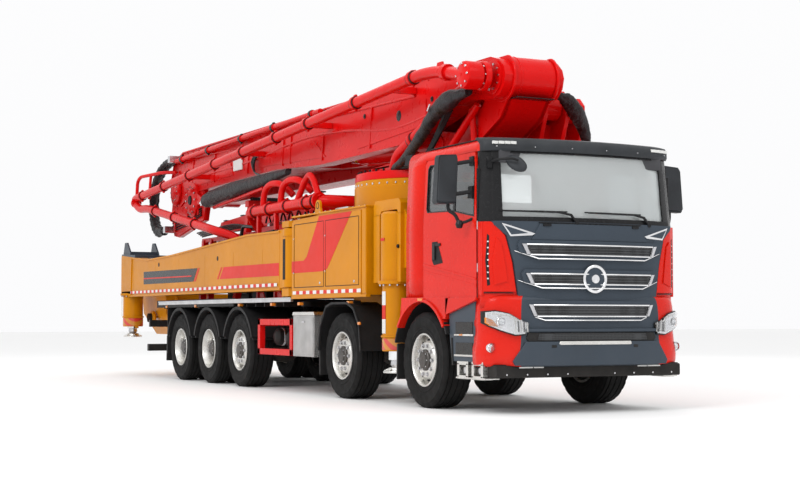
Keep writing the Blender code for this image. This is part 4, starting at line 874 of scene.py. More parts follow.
panel = Piece("front_panel_look", slate, grille_mesh, chrome, gloss_black, hub_dark, steel)
panel.plate(pair([(1.15, 2.035), (1.13, 1.99), (1.005, 1.88), (0.93, 1.60), (0.885, 1.28), (0.865, 1.00),
                  (0.74, 0.90), (0.55, 0.86)]), (0.0, 0.034), "YZ")
panel.plate(pair([(0.64, 2.012), (0.74, 1.84)]), (0.03, 0.046), "YZ")
panel.plate(pair([(0.66, 2.028), (0.64, 2.016)]), (0.03, 0.050), "YZ", 3)
for top, bottom, wide, out in ((1.835, 1.635, 0.90, 0.060), (1.525, 1.325, 0.86, 0.064),
                               (1.195, 0.985, 0.83, 0.066)):
    # a raised surround, its chrome-edged slot, the bright end tabs and the strip beneath
    panel.plate(pair([(wide - 0.03, top), (wide, top - 0.05), (wide - 0.02, bottom + 0.075),
                      (wide - 0.24, bottom)]), (0.03, out), "YZ")
    high, low, reach = top - 0.045, bottom + 0.045, wide - 0.09
    slot = pair([(reach, high), (reach - 0.045, low)])
    panel.plate(slot, (out, out + 0.003), "YZ", 1)
    edge_path = [(out + 0.006, y, z) for y, z in slot]
    panel.tube([Vector(p) for p in edge_path], 0.0095, 8, 2, closed=True)
    for k in range(3):
        z = low + (high - low) * (k + 1) / 4
        panel.tube([(out + 0.003, -reach + 0.05, z), (out + 0.003, reach - 0.05, z)], 0.0035, 6, 3)
    for sign in (-1, 1):
        panel.plate([(sign * (reach + 0.052), high + 0.006), (sign * (reach + 0.008), high + 0.004),
                     (sign * (reach - 0.040), low), (sign * (reach - 0.004), low + 0.004)],
                     (out, out + 0.018), "YZ", 5)
        panel.tube([(0.040, sign * (wide + 0.03), bottom + 0.085),
                    (out + 0.012, sign * (wide - 0.22), bottom + 0.004),
                    (out + 0.012, 0.0, bottom + 0.004)], [0.004, 0.0085, 0.0085], 8, 2)
for sign in (-1, 1):
    panel.plate([(sign * 1.065, 2.012), (sign * 0.70, 1.905), (sign * 0.735, 1.885), (sign * 0.975, 1.872)],
                (0.03, 0.050), "YZ", 2)
    panel.plate([(sign * 1.035, 1.985), (sign * 0.78, 1.908), (sign * 0.965, 1.890)], (0.045, 0.056), "YZ", 0)
    panel.box((0.04, 0.058), (sign * 0.52, sign * 0.61), (1.985, 2.012), 3)
panel.make("chassis", "grille", replaces="front_panel", bevel=0.0035, change=bend(FACE_Y, FACE_X))

badge = Piece("front_badge", chrome, slate)
badge.turn([(0.118, 0.0), (0.148, 0.004), (0.152, 0.018), (0.140, 0.030), (0.124, 0.026), (0.118, 0.012)],
           (1.615, 0.0, 1.43), "X", 64)
badge.turn([(0.120, 0.012), (0.10, 0.016), (0.04, 0.022), (0.0, 0.023)], (1.615, 0.0, 1.43), "X", 64, 1)
badge.turn([(0.052, 0.016), (0.046, 0.030), (0.0, 0.034)], (1.615, 0.0, 1.43), "X", 48, 0)
badge.make("chassis", "steel", smooth=60)

# red panels either side of the grille, each with a tall recess and a fin
corner = Piece("right_corner_panel", cab_red, gloss_black, white_paint)
corner.plate([(-1.150, 2.025), (-1.02, 1.885), (-0.945, 1.60), (-0.900, 1.29), (-1.235, 1.29), (-1.240, 1.97),
              (-1.21, 2.03)], (0.0, 0.022), "YZ")
corner.plate([(-1.115, 1.86), (-1.06, 1.80), (-1.02, 1.55), (-1.00, 1.40), (-1.13, 1.36), (-1.15, 1.62)],
             (0.02, 0.036), "YZ")
corner.plate([(-1.190, 1.90), (-1.170, 1.88), (-1.180, 1.62), (-1.165, 1.36), (-1.190, 1.35), (-1.205, 1.62)],
             (0.018, 0.025), "YZ", 1)
for k in range(7):
    corner.box((0.024, 0.030), (-1.192, -1.178), (1.42 + 0.065 * k, 1.435 + 0.065 * k), 2)
corner.plate([(-0.935, 1.283), (-1.23, 1.283), (-1.23, 1.273), (-0.92, 1.273)], (0.0, 0.015), "YZ", 1)
both(corner, "chassis", slot="cab_red", bevel=0.006, change=bend(FACE_Y, FACE_X))

for sign, name in ((-1, "right"), (1, "left")):
    flank = Piece(f"{name}_front_flank", cab_red, gloss_black)
    flank.plate([(1.268, 1.25), (1.35, 1.25), (1.35, 2.03), (1.268, 2.03)], (sign * 1.205, sign * 1.235))
    flank.box((1.258, 1.268), (sign * 1.20, sign * 1.243), (1.22, 2.60), 1)
    flank.make("chassis", "cab_red", bevel=0.006)


# ---------------------------------------------------------------- bumper
BUMPER_Y = (0.0, 0.50, 0.75, 0.90, 1.00, 1.10, 1.17, 1.215, 1.245, 1.252)
BUMPER_X = (1.625, 1.612, 1.590, 1.568, 1.545, 1.508, 1.462, 1.410, 1.330, 1.25)
bumper_bend = bend(BUMPER_Y[:-1], BUMPER_X[:-1])
shell = Piece("bumper_look", cab_red, slate, gloss_black)
half = [(1.17, 1.250), (1.25, 1.250), *[(x, y) for x, y in zip(reversed(BUMPER_X[:-1]),
    reversed(BUMPER_Y[:-1]))]]
plan = [(x, -y) for x, y in half] + [(x, y) for x, y in reversed(half[:-1])]
levels = [(0.500, 0.045), (0.512, 0.018), (0.54, 0.004), (0.62, 0.0), (0.70, 0.004), (0.745, 0.018),
          (0.87, 0.030), (0.95, 0.024),
          (1.06, 0.028), (1.14, 0.034), (1.20, 0.045), (1.235, 0.062), (1.255, 0.10)]
n = len(plan)
for z, inset in levels:
    for x, y in plan:
        reach = math.hypot((x - 0.9) * 0.9, y)
        shell.points.append((x - inset * (x - 0.9) / reach if x > 1.2 else x, y - inset * y / reach, z))
for i in range(len(levels) - 1):
    for k in range(n - 1):
        y = abs(plan[k][1] + plan[k + 1][1]) / 2
        z = (levels[i][0] + levels[i + 1][0]) / 2
        shell.faces.append((i * n + k, i * n + k + 1, (i + 1) * n + k + 1, (i + 1) * n + k))
        shell.marks.append(1 if y < 0.88 else 0)
bumper = shell.make("chassis", "cab_red", replaces="bumper", smooth=50)
wall = bumper.modifiers.new("wall", "SOLIDIFY")
wall.thickness, wall.offset = 0.02, -1

trim_piece = Piece("bumper_fittings", slate, grille_mesh, rim_silver, gloss_black, black_paint, steel,
                   black_plastic)
trim_piece.plate(pair([(0.84, 0.765), (0.985, 0.56), (0.96, 0.515)]), (0.0, 0.022), "YZ", 0)
trim_piece.plate(pair([(0.80, 0.860), (0.83, 0.80), (0.80, 0.765)]), (-0.02, -0.008), "YZ", 3)
trim_piece.plate(pair([(0.68, 0.850), (0.70, 0.775)]), (-0.01, -0.003), "YZ", 1)
trim_piece.plate(pair([(0.45, 0.768), (0.46, 0.738), (0.44, 0.730)]), (0.005, 0.030), "YZ", 2)
trim_piece.plate(pair([(0.86, 0.90), (0.84, 0.87)]), (-0.02, 0.012), "YZ", 0)
for y in (-0.52, 0.52):
    trim_piece.box((0.018, 0.026), (y - 0.03, y + 0.03), (0.70, 0.73), 3)
trim_piece.make("chassis", "grille", bevel=0.004, change=bend(BUMPER_Y[:-1], BUMPER_X[:-1]))

guard = Piece("front_underrun", black_paint, black_plastic, steel, white_paint, band_red)
guard.plate([(1.36, 0.385), (1.53, 0.385), (1.545, 0.40), (1.545, 0.50), (1.53, 0.515), (1.36, 0.515)],
            (-1.17, 1.17))
guard.box((1.30, 1.52), (-1.16, 1.16), (0.50, 0.525), 1)
for sign in (-1, 1):
    guard.box((1.545, 1.550), (sign * 0.60, sign * 0.72), (0.487, 0.502), 3).box((1.545, 1.550),
        (sign * 0.73, sign * 0.90), (0.487, 0.502), 3)
    guard.box((1.10, 1.42), (sign * 0.36, sign * 0.42), (0.42, 0.90), 0)
    guard.row((1.545, sign * 0.30, 0.42), (1.545, sign * 1.05, 0.42), 4, 0.011, (0.008, 0, 0), 2)
guard.make("chassis", "cab_red", bevel=0.008)


# ---- headlamps, fog lamps
lamp_piece = Piece("right_headlamp", gloss_black, chrome, lamp_glass, amber, rim_silver, mirror_glass)
outline = [(-1.236, 1.085), (-1.15, 1.095), (-1.02, 1.065), (-0.90, 0.995), (-0.80, 0.955), (-0.835, 0.835),
           (-0.95, 0.825), (-1.10, 0.875), (-1.20, 0.925), (-1.236, 0.96)]
mid = (-1.03, 0.965)
smaller = [((y - mid[0]) * 0.93 + mid[0], (z - mid[1]) * 0.90 + mid[1]) for y, z in outline]
lamp_piece.plate(outline, (-0.035, 0.004), "YZ", 0)
lamp_piece.plate(smaller, (0.002, 0.006), "YZ", 1)
lamp_piece.plate([(-1.225, 1.02), (-1.175, 0.99), (-1.13, 0.92), (-1.20, 0.935), (-1.225, 0.96)],
                 (0.004, 0.020), "YZ", 3)
for k in range(5):
    y = -0.965 + 0.032 * k
    lamp_piece.plate([(y, 1.02 - k * 0.012), (y + 0.012, 1.015 - k * 0.012), (y + 0.020, 0.865),
                      (y + 0.008, 0.865)], (0.004, 0.020), "YZ", 0 if k % 2 else 4)
lamp_piece.plate([(-1.18, 1.065), (-1.02, 1.045), (-0.91, 0.985), (-0.92, 0.975), (-1.02, 1.028),
                  (-1.18, 1.05)], (0.005, 0.022), "YZ", 4)
both(lamp_piece, "chassis", slot="glass", bevel=0.003, change=bumper_bend)

lens = Piece("right_headlamp_lens", lamp_glass)
lens.plate(smaller, (0.026, 0.030), "YZ", 0)
both(lens, "chassis", slot="glass", change=bumper_bend)

bulbs = Piece("right_lamp_units", chrome, lamp_glass, gloss_black, mirror_glass)
for y, z, r, x in ((-1.075, 0.975, 0.052, 1.500), (-1.175, 0.700, 0.040, 1.448)):
    bulbs.turn([(r * 1.25, -0.03), (r * 1.35, 0.012), (r * 1.20, 0.020), (r * 1.02, 0.006), (r * 0.9, -0.01)],
               (x, y, z), "X", 32, 0)
    bulbs.turn([(r * 1.0, 0.0), (r * 0.93, 0.012), (r * 0.7, 0.024), (r * 0.35, 0.031), (0.0, 0.033)],
               (x, y, z), "X", 32, 1)
    bulbs.turn([(r * 0.98, -0.002), (0.0, -0.004)], (x, y, z), "X", 32, 3)
both(bulbs, "chassis", slot="glass", smooth=60)


# ---- wheel arch, step wells and brackets
arch = Piece("right_wheel_arch", cab_red, black_plastic, amber, slate, rim_silver, steel, gloss_black,
             white_paint)
inner_arc = arc((0.0, 0.54), 0.665, 30, 150, 18)
arch.plate([(0.66, 1.245)] + [(x, max(z, 1.0)) for x, z in inner_arc[:-1]] + [(-0.50, 1.02), (-0.50, 1.245)],
           (-1.262, -1.20), mark=0)
lip = arc((0.0, 0.54), 0.690, 34, 147, 20) + arc((0.0, 0.54), 0.655, 147, 34, 20)
arch.plate(lip, (-1.285, -1.19), mark=0)
liner = arc((0.0, 0.54), 0.690, 26, 164, 24) + arc((0.0, 0.54), 0.664, 164, 26, 24)
arch.plate(liner, (-1.268, -0.82), mark=1)
arch.plate([(-0.665, 0.72), (-0.70, 0.71), (-0.71, 0.30), (-0.675, 0.30)], (-1.22, -0.84), mark=1)
arch.plate([(0.655, 0.80), (0.69, 0.80), (0.71, 0.50), (0.68, 0.50)], (-1.235, -0.84), mark=1)
arch.box((-0.035, 0.075), (-1.292, -1.275), (1.205, 1.235), 2)
arch.plate([(0.60, 1.16), (1.19, 1.22), (1.19, 0.545), (0.66, 0.545), (0.62, 0.80)], (-1.225, -1.16), mark=3)
arch.plate([(0.58, 1.235), (1.262, 1.235), (1.262, 1.205), (1.18, 1.185), (0.70, 1.075), (0.58, 1.05)],
           (-1.262, -1.19), mark=0)
for z in (0.60, 0.82):
    arch.box((0.74, 1.16), (-1.24, -1.17), (z, z + 0.022), 4)
    arch.box((0.76, 1.14), (-1.232, -1.12), (z + 0.022, z + 0.15), 6)
arch.box((0.86, 0.93), (-1.246, -1.236), (0.823, 0.840), 2)
arch.box((0.95, 1.10), (-1.246, -1.236), (0.823, 0.840), 7)
for x in (0.80, 1.12):
    for a, b in (((x, 0.36), (x + 0.24, 0.40)), ((x, 0.51), (x + 0.24, 0.55))):
        arch.box((a[0], b[0]), (-1.235, -1.10), (a[1], b[1]), 4)
    for dx in (0.0, 0.195):
        arch.box((x + dx, x + dx + 0.045), (-1.235, -1.10), (0.38, 0.53), 4)
    arch.rod((x + 0.12, -1.10, 0.455), (x + 0.12, -1.20, 0.455), 0.038, 16, 5)
arch.box((0.78, 1.40), (-1.24, -1.05), (0.365, 0.382), 4)
both(arch, "chassis", slot="cab_red", bevel=0.005)


# ---------------------------------------------------------------- side boxes


def tape(piece, x0, x1, y, z0, z1, marks, step=0.115, sign=-1):
    """Red and white reflective dashes along a lower edge."""
    x, k = x0, 0
    while x < x1 - 0.02:
        piece.box((x, min(x + step, x1)), (y, y + sign * 0.003), (z0, z1), marks[k % 2])
        x, k = x + step, k + 1


for side_name, s in SIDES:
    chest = Piece(f"{side_name}_side_box_look", yellow, band_red, white_paint, black_plastic, steel,
                  black_paint)
    out = s * 1.25
    chest.plate([(-3.86, 1.30), (-1.50, 1.30), (-1.50, 2.38), (-2.95, 2.38), (-3.06, 2.36), (-3.86, 2.34)],
                (s * 0.63, s * 1.235))
    chest.plate([(-3.86, 1.30), (-1.64, 1.30), (-1.64, 2.345), (-3.02, 2.345), (-3.86, 2.305)],
                (s * 1.23, out))
    chest.plate([(-1.62, 1.32), (-1.51, 1.32), (-1.51, 2.36), (-1.62, 2.36)], (s * 1.23, s * 1.243))
    chest.box((-3.88, -1.48), (s * 1.19, s * 1.252), (1.272, 1.305))
    chest.box((-3.87, -1.49), (s * 0.66, s * 1.256), (2.375, 2.395))
    chest.plate([(-2.93, 2.345), (-1.90, 2.345), (-2.56, 1.74), (-2.66, 1.65), (-2.80, 1.62), (-3.86, 1.62),
                 (-3.86, 1.78), (-3.44, 1.78), (-3.34, 1.83)],
                (out, out + s * 0.003), mark=1)
    tape(chest, -3.82, -1.62, out, 1.33, 1.375, (2, 1), sign=s)
    for x0, x1, z0, z1 in ((-3.78, -2.78, 1.42, 2.27), (-2.72, -1.70, 1.42, 2.27)):
        for a, b in (((x0, z0), (x1, z0 + 0.008)), ((x0, z1), (x1, z1 + 0.008)), ((x0, z0), (x0 + 0.008, z1)),
                     ((x1, z0), (x1 + 0.008, z1))):
            chest.box((a[0], b[0]), (out - s * 0.002, out + s * 0.0045), (a[1], b[1]), 5)
        chest.turn([(0.0, 0.0), (0.018, 0.0), (0.020, -s * 0.01)],
                   ((x0 + x1) / 2 + 0.38, out + s * 0.006, 1.47), sides=16, mark=4)
        for z in (1.62, 2.08):
            chest.rod((x0 + 0.004, out, z), (x0 + 0.004, out + s * 0.014, z), 0.011, 10, 4)
    chest.row((-3.80, out - s * 0.01, 2.395), (-1.60, out - s * 0.04, 2.395), 14, 0.012, (0, 0, 0.01), 4)
    # lifting eye
    eye_out = [(-3.16, 2.37)] + arc((-3.04, 2.49), 0.075, 200, -20, 14) + [(-2.92, 2.37)]
    chest.plate(eye_out, (s * 1.195, s * 1.225))
    chest.turn([(0.034, -0.002), (0.046, -0.002), (0.046, 0.034), (0.034, 0.034)],
               (-3.04, s * 1.21 - 0.016, 2.49), sides=24, mark=5)
    # filler caps and vents on the lid
    for x in (-3.6, -3.3, -2.2):
        chest.turn([(0.05, 0.0), (0.05, 0.04), (0.042, 0.055), (0.0, 0.055)], (x, s * 0.95, 2.39), "Z", 20, 3)
    chest.box((-2.75, -2.35), (s * 0.80, s * 1.10), (2.38, 2.44), 4)
    chest.make("chassis", "yellow", bevel=0.010, replaces=f"{side_name}_side_box")


# ---------------------------------------------------------------- rear outriggers
def leg(piece, x, y, low, high, sign, marks):
    """Leg tube with end rings, bolts, tape and slanted bands at its foot."""
    paint_mark, _, _, bolt, hazard_mark = marks
    piece.turn([(0.150, low), (0.178, low), (0.180, low + 0.01), (0.180, high), (0.165, high)], (x, y, 0),
               "Z", 40, paint_mark)
    piece.turn([(0.181, low + 0.015), (0.1835, low + 0.015), (0.1835, low + 0.15), (0.181, low + 0.15)],
               (x, y, 0), "Z", 40, hazard_mark)
    piece.turn([(0.18, low + 0.16), (0.196, low + 0.165), (0.196, low + 0.185), (0.18, low + 0.19)],
               (x, y, 0), "Z", 40, paint_mark)
    piece.turn([(0.17, high - 0.045), (0.232, high - 0.045), (0.232, high - 0.005), (0.17, high - 0.005)],
               (x, y, 0), "Z", 40, paint_mark)
    piece.bolts((x, y, high - 0.045), 0.208, 14, 0.014, 0.022, "Z", bolt, -1)


rear = Piece("right_rear_outrigger_look", yellow, band_red, white_paint, gloss_black, steel, black_paint,
             hazard, iron, slate)
beam = [(-12.15, 1.43), (-4.34, 1.43), (-4.34, 2.20), (-5.60, 2.21), (-9.20, 2.045), (-10.60, 2.015),
        (-12.15, 2.14)]
rear.plate(beam, (-1.238, -0.985))
rear.plate([(-12.15, 1.40), (-4.30, 1.40), (-4.30, 1.43), (-12.15, 1.43)], (-1.252, -0.97))
for (x0, z0), (x1, z1) in zip(beam[2:], beam[3:]):
    rear.plate([(x0, z0), (x1, z1), (x1, z1 + 0.028), (x0, z0 + 0.028)], (-1.252, -0.97))
tape(rear, -12.10, -4.40, -1.252, 1.455, 1.50, (2, 1))
rear.plate([(-8.05, 1.60), (-10.78, 1.61), (-10.78, 1.83), (-7.85, 1.81)], (-1.238, -1.2415), mark=3)
rear.plate([(-8.15, 1.68), (-10.78, 1.70), (-10.78, 1.72), (-8.12, 1.70)], (-1.2415, -1.2445), mark=1)
rear.plate([(-8.02, 1.60), (-7.82, 1.81), (-7.74, 1.81), (-7.94, 1.60)], (-1.238, -1.2415), mark=1)
rear.plate([(-4.36, 1.60), (-6.80, 1.61), (-6.62, 1.79), (-4.36, 1.78)], (-1.238, -1.2415), mark=1)
rear.plate([(-6.86, 1.61), (-6.68, 1.79), (-6.74, 1.79), (-6.92, 1.61)], (-1.238, -1.2415), mark=1)
for x in (-11.4, -10.1, -8.8, -7.5, -6.2, -5.0):
    rear.box((x - 0.004, x + 0.004), (-1.2385, -1.240), (1.52, 2.0), 0)
for x in (-11.55, -9.9, -6.9):
    rear.turn([(0.0, 0.0), (0.035, 0.0), (0.040, 0.006)], (x, -1.241, 1.93), sides=20, mark=5)
# hinge end: barrel with a dark slot between two ring plates; the slot is a black box, painted shade for the gap
rear.turn([(0.10, 1.425), (0.165, 1.43), (0.168, 1.44), (0.168, 2.24), (0.16, 2.25), (0.10, 2.25)],
          (-4.10, -1.09, 0), "Z", 40)
rear.box((-4.42, -4.10), (-1.235, -0.96), (1.43, 2.24))
rear.box((-4.165, -4.085), (-1.262, -1.20), (1.53, 2.10), 5)
for z in (1.44, 2.14):
    rear.turn([(0.12, z), (0.182, z), (0.182, z + 0.10), (0.12, z + 0.10)], (-4.10, -1.09, 0), "Z", 40)
# tail: leg housing, tray and fin
rear.plate([(-12.15, 1.40), (-11.55, 1.40), (-11.50, 2.10), (-12.15, 2.14)], (-1.255, -0.965))
leg(rear, -11.86, -1.11, 0.86, 1.47, -1, (0, 2, 1, 4, 6))
rear.box((-11.99, -11.95), (-1.294, -1.288), (1.05, 1.38), 2)
rear.plate([(-12.14, 2.14), (-11.30, 2.10), (-11.30, 2.15), (-12.14, 2.19)], (-1.25, -0.60), mark=8)
rear.plate([(-12.15, 2.17), (-12.05, 2.40), (-11.92, 2.40), (-11.70, 2.20), (-11.70, 2.14)], (-1.22, -1.19),
           mark=8)
rear.plate([(-12.15, 2.17), (-12.05, 2.40), (-11.92, 2.40), (-11.70, 2.20), (-11.70, 2.14)], (-0.70, -0.67),
           mark=8)
rear.box((-12.10, -11.75), (-1.20, -0.70), (2.17, 2.23), 8)
rear.tube(smooth_path([(-11.4, -1.02, 2.07), (-10.4, -1.0, 2.06), (-7.5, -1.0, 2.17), (-5.0, -1.0, 2.27)],
                      0.3), 0.016, 8, 5)
rear.tube(smooth_path([(-11.4, -1.08, 2.07), (-10.4, -1.06, 2.06), (-7.5, -1.06, 2.17), (-5.0, -1.06, 2.27)],
                      0.3), 0.016, 8, 5)
both(rear, "right_rear_outrigger", slot="yellow", bevel=0.008, replaces="right_rear_outrigger")


# ---------------------------------------------------------------- front outriggers
def front_outrigger(name, s, beam_x):
    piece = Piece(f"{name}_front_outrigger_look", yellow, band_red, white_paint, steel, hazard, black_paint,
                  chrome)
    x, y = -0.985, s * 1.07
    piece.turn([(0.05, 2.28), (0.17, 2.28), (0.196, 2.255), (0.198, 1.47), (0.198, 1.44)], (x, y, 0), "Z", 44)
    piece.box((-1.42, -0.72), (s * 0.90, s * 1.04), (1.42, 2.38))
    for a, b in ((-1.44, -1.27), (-0.79, -0.70)):
        piece.plate([(a, 1.44), (b, 1.44), (b, 2.26), (a, 2.26)], (s * 0.98, s * 1.17))
    piece.plate([(-1.44, 2.25), (-1.44, 2.38), (-1.39, 2.43), (-0.75, 2.43), (-0.70, 2.38), (-0.70, 2.25),
                 (-0.76, 2.25), (-0.80, 2.30), (-1.22, 2.30), (-1.27, 2.25)], (s * 0.98, s * 1.17))
    piece.plate([(-0.70, 2.30), (-0.70, 1.60), (-0.60, 1.60), (-0.64, 1.95), (-0.62, 2.20)],
                (s * 0.90, s * 1.12))
    piece.plate([(-0.70, 1.85), (-0.70, 1.70), (-0.50, 1.38), (-0.47, 1.42)], (s * 0.93, s * 0.97))
    leg(piece, x, y, 0.62, 1.46, s, (0, 2, 1, 3, 4))
    for k, (low, high) in enumerate(((0.83, 1.00), (1.00, 1.165), (1.165, 1.33))):
        piece.box((x - 0.045, x + 0.045), (y + s * 0.176, y + s * 0.1815), (low, high), (2, 1, 2)[k])
    piece.box((x - 0.05, x + 0.05), (y + s * 0.195, y + s * 0.201), (1.93, 1.965), 1)
    piece.turn([(0.0, 0.0), (0.022, 0.0), (0.024, -s * 0.02)], (-0.75, s * 1.19, 1.86), sides=14, mark=5)
    piece.box((beam_x[0] + 0.004, beam_x[1] - 0.004), (s * 1.0, -s * 0.836), (1.506, 1.854))
    for z in (1.506, 1.848):
        piece.box((beam_x[0] + 0.02, beam_x[1] - 0.02), (s * 0.9, -s * 0.82), (z - 0.002, z + 0.008), 3)
    piece.tube(smooth_path([(-0.76, s * 1.02, 2.38), (-0.74, s * 1.0, 2.47), (-0.60, s * 0.92, 2.46),
                            (-0.58, s * 0.90, 2.0)], 0.05), 0.014, 8, 5)
    piece.make(f"{name}_front_outrigger", "yellow", bevel=0.008, replaces=f"{name}_front_outrigger")


front_outrigger("right", -1, (-1.42, -1.09))
front_outrigger("left", 1, (-1.04, -0.71))

for side_name, s in SIDES:
    for which, x, y, pad, top in (("front", -0.985, 1.07, 0.36, 1.38), ("rear", -11.86, 1.11, 0.67, 1.42)):
        jack = Piece(f"{side_name}_{which}_jack_look", chrome, steel, iron, rim_silver)
        at = (x, s * y, 0)
        jack.turn([(0.0, top), (0.104, top), (0.106, top - 0.01), (0.106, pad + 0.155), (0.0, pad + 0.155)],
                  at, "Z", 36)
        jack.turn([(0.0, pad + 0.16), (0.075, pad + 0.155), (0.082, pad + 0.10), (0.060, pad + 0.06),
                   (0.0, pad + 0.05)], at, "Z", 32, 1)
        jack.turn([(0.0, pad + 0.068), (0.10, pad + 0.068), (0.112, pad + 0.055), (0.118, pad + 0.030),
                   (0.165, pad + 0.026),
                   (0.170, pad + 0.018), (0.170, pad + 0.002), (0.165, pad), (0.0, pad)], at, "Z", 40, 3)
        for k in range(6):
            a = math.pi * k / 3
            u, v = Vector((math.cos(a), math.sin(a), 0)), Vector((-math.sin(a), math.cos(a), 0)) * 0.006
            foot = Vector((x, s * y, pad + 0.02))
            inner, outer = foot + u * 0.09, foot + u * 0.158
            up = Vector((0, 0, 0.045))
            jack.add([inner - v, inner + v, outer + v, outer - v, inner - v + up, inner + v + up,
                      outer + v + up * 0.2, outer - v + up * 0.2],
                     [(0, 3, 2, 1), (4, 5, 6, 7), (0, 1, 5, 4), (1, 2, 6, 5), (2, 3, 7, 6), (3, 0, 4, 7)], 3)
        jack.make(f"{side_name}_{which}_jack", "steel", replaces=f"{side_name}_{which}_jack", bevel=0.003)


# ---------------------------------------------------------------- collar and turret ring
collar = Piece("pedestal_collar", yellow, steel, black_paint, hose_wrap, black_plastic, chequer_plate)
collar.turn([(0.74, 2.30), (0.80, 2.34), (0.93, 2.415), (0.955, 2.43), (0.957, 2.68), (0.95, 2.69),
             (0.93, 2.695), (0.93, 2.757), (0.70, 2.757)], (-2.25, 0, 0), "Z", 96)
collar.bolts((-2.25, 0, 2.695), 0.943, 48, 0.015, 0.028, "Z", 1, 1)
for s in (-1, 1):
    collar.plate([(-1.50, 1.98), (-0.68, 1.98), (-0.90, 2.42), (-1.42, 2.42)], (s * 0.44, s * 0.47))
    collar.plate([(-1.56, 1.30), (-0.64, 1.30), (-0.64, 1.38), (-1.56, 1.38)], (s * 0.20, s * 1.0))
    collar.box((-1.48, -0.655), (s * 0.862, s * 0.885), (1.39, 1.50)).box((-1.48, -0.655),
        (s * 0.862, s * 0.885), (1.862, 1.97))
    collar.row((-1.42, s * 0.885, 1.93), (-0.70, s * 0.885, 1.93), 6, 0.012, (0, s * 0.012, 0), 1)
    collar.row((-1.42, s * 0.885, 1.44), (-0.70, s * 0.885, 1.44), 6, 0.012, (0, s * 0.012, 0), 1)
collar.box((-3.30, -1.40), (-0.60, 0.60), (2.37, 2.40), 5)
collar.make("chassis", "yellow", bevel=0.006)

intake = Piece("air_intake", black_plastic, rubber("intake_rubber"), steel)
for k in range(24):
    z = 1.62 + k * 0.05
    intake.turn([(0.085, z), (0.108, z + 0.012), (0.108, z + 0.028), (0.085, z + 0.040)], (-0.585, -0.98, 0),
                "Z", 24, 1)
intake.turn([(0.0, 1.60), (0.088, 1.60), (0.088, 2.83), (0.0, 2.83)], (-0.585, -0.98, 0), "Z", 24, 0)
intake.plate([(-0.70, 2.80), (-0.50, 2.80), (-0.50, 2.92), (-0.66, 2.92)], (-1.12, -0.70), mark=0)
intake.box((-0.66, -0.50), (-1.06, -0.45), (1.25, 1.62), 0)
intake.tube(smooth_path([(-0.58, 0.80, 1.10), (-0.58, 0.80, 2.60), (-0.60, 0.84, 2.84)], 0.08), 0.075, 20, 2)
for k in range(7):
    intake.box((-0.665, -0.655), (-1.0, -0.5), (1.28 + 0.045 * k, 1.30 + 0.045 * k), 1)
intake.make("chassis", "trim", bevel=0.005)


# ---------------------------------------------------------------- fenders, deck edge, locker, tank
fenders = Piece("second_axle_fenders_look", black_plastic, amber, steel, black_paint)
for s in (-1, 1):
    shape = [(-2.93, 0.62), (-2.87, 0.92), (-2.68, 1.17), (-2.50, 1.215), (-2.02, 1.215), (-1.82, 1.15),
             (-1.66, 0.95), (-1.60, 0.62)]
    inner = [(x + (-2.26 - x) * 0.015, z - 0.015) for x, z in reversed(shape)]
    fenders.plate(shape + inner, (s * 1.262, s * 0.84))
    fenders.plate(shape + [(x + (-2.26 - x) * 0.04, z - 0.03) for x, z in reversed(shape)],
                  (s * 1.272, s * 1.235))
    fenders.box((-1.665, -1.60), (s * 1.285, s * 1.262), (0.93, 0.965), 1)
    fenders.plate([(-2.95, 0.64), (-2.91, 0.64), (-2.90, 0.28), (-2.94, 0.28)], (s * 1.24, s * 0.86), mark=0)
    fenders.rod((-2.25, s * 0.84, 1.19), (-2.25, s * 0.44, 1.02), 0.022, 12, 3)
fenders.make("chassis", "fender", bevel=0.006, replaces="second_axle_fenders")

deck = Piece("deck_edges", aluminium, amber, black_plastic, black_paint, steel, chequer_plate, hose_wrap,
             white_paint)
for s in (-1, 1):
    deck.box((-9.85, -3.90), (s * 1.215, s * 1.254), (1.235, 1.292), 0)
    deck.box((-9.85, -3.90), (s * 1.254, s * 1.262), (1.278, 1.296), 0)
    for x in (-9.4, -7.9, -5.9, -4.6, -3.6, -2.0):
        deck.box((x - 0.035, x + 0.035), (s * 1.20, s * 1.262), (1.185, 1.225), 1)
        deck.box((x - 0.05, x + 0.05), (s * 1.10, s * 1.20), (1.17, 1.235), 2)
    for x in AXLES[2:]:
        shape = arc((x, 0.54), 0.645, 18, 162, 18)
        deck.plate(shape + arc((x, 0.54), 0.615, 162, 18, 18), (s * 1.258, s * 0.60), mark=2)
        deck.plate(shape + arc((x, 0.54), 0.60, 162, 18, 18), (s * 1.268, s * 1.235), mark=2)
        deck.rod((x, s * 0.60, 1.14), (x, s * 0.44, 1.02), 0.02, 10, 3)
    deck.plate([(-9.42, 0.72), (-9.38, 0.72), (-9.40, 0.30), (-9.44, 0.30)], (s * 1.24, s * 0.62), mark=2)
    for k in range(16):
        deck.box((-9.7 + k * 0.36, -9.67 + k * 0.36), (s * 1.20, s * 0.50), (1.175, 1.232), 3)
deck.make("chassis", "fender", bevel=0.004)

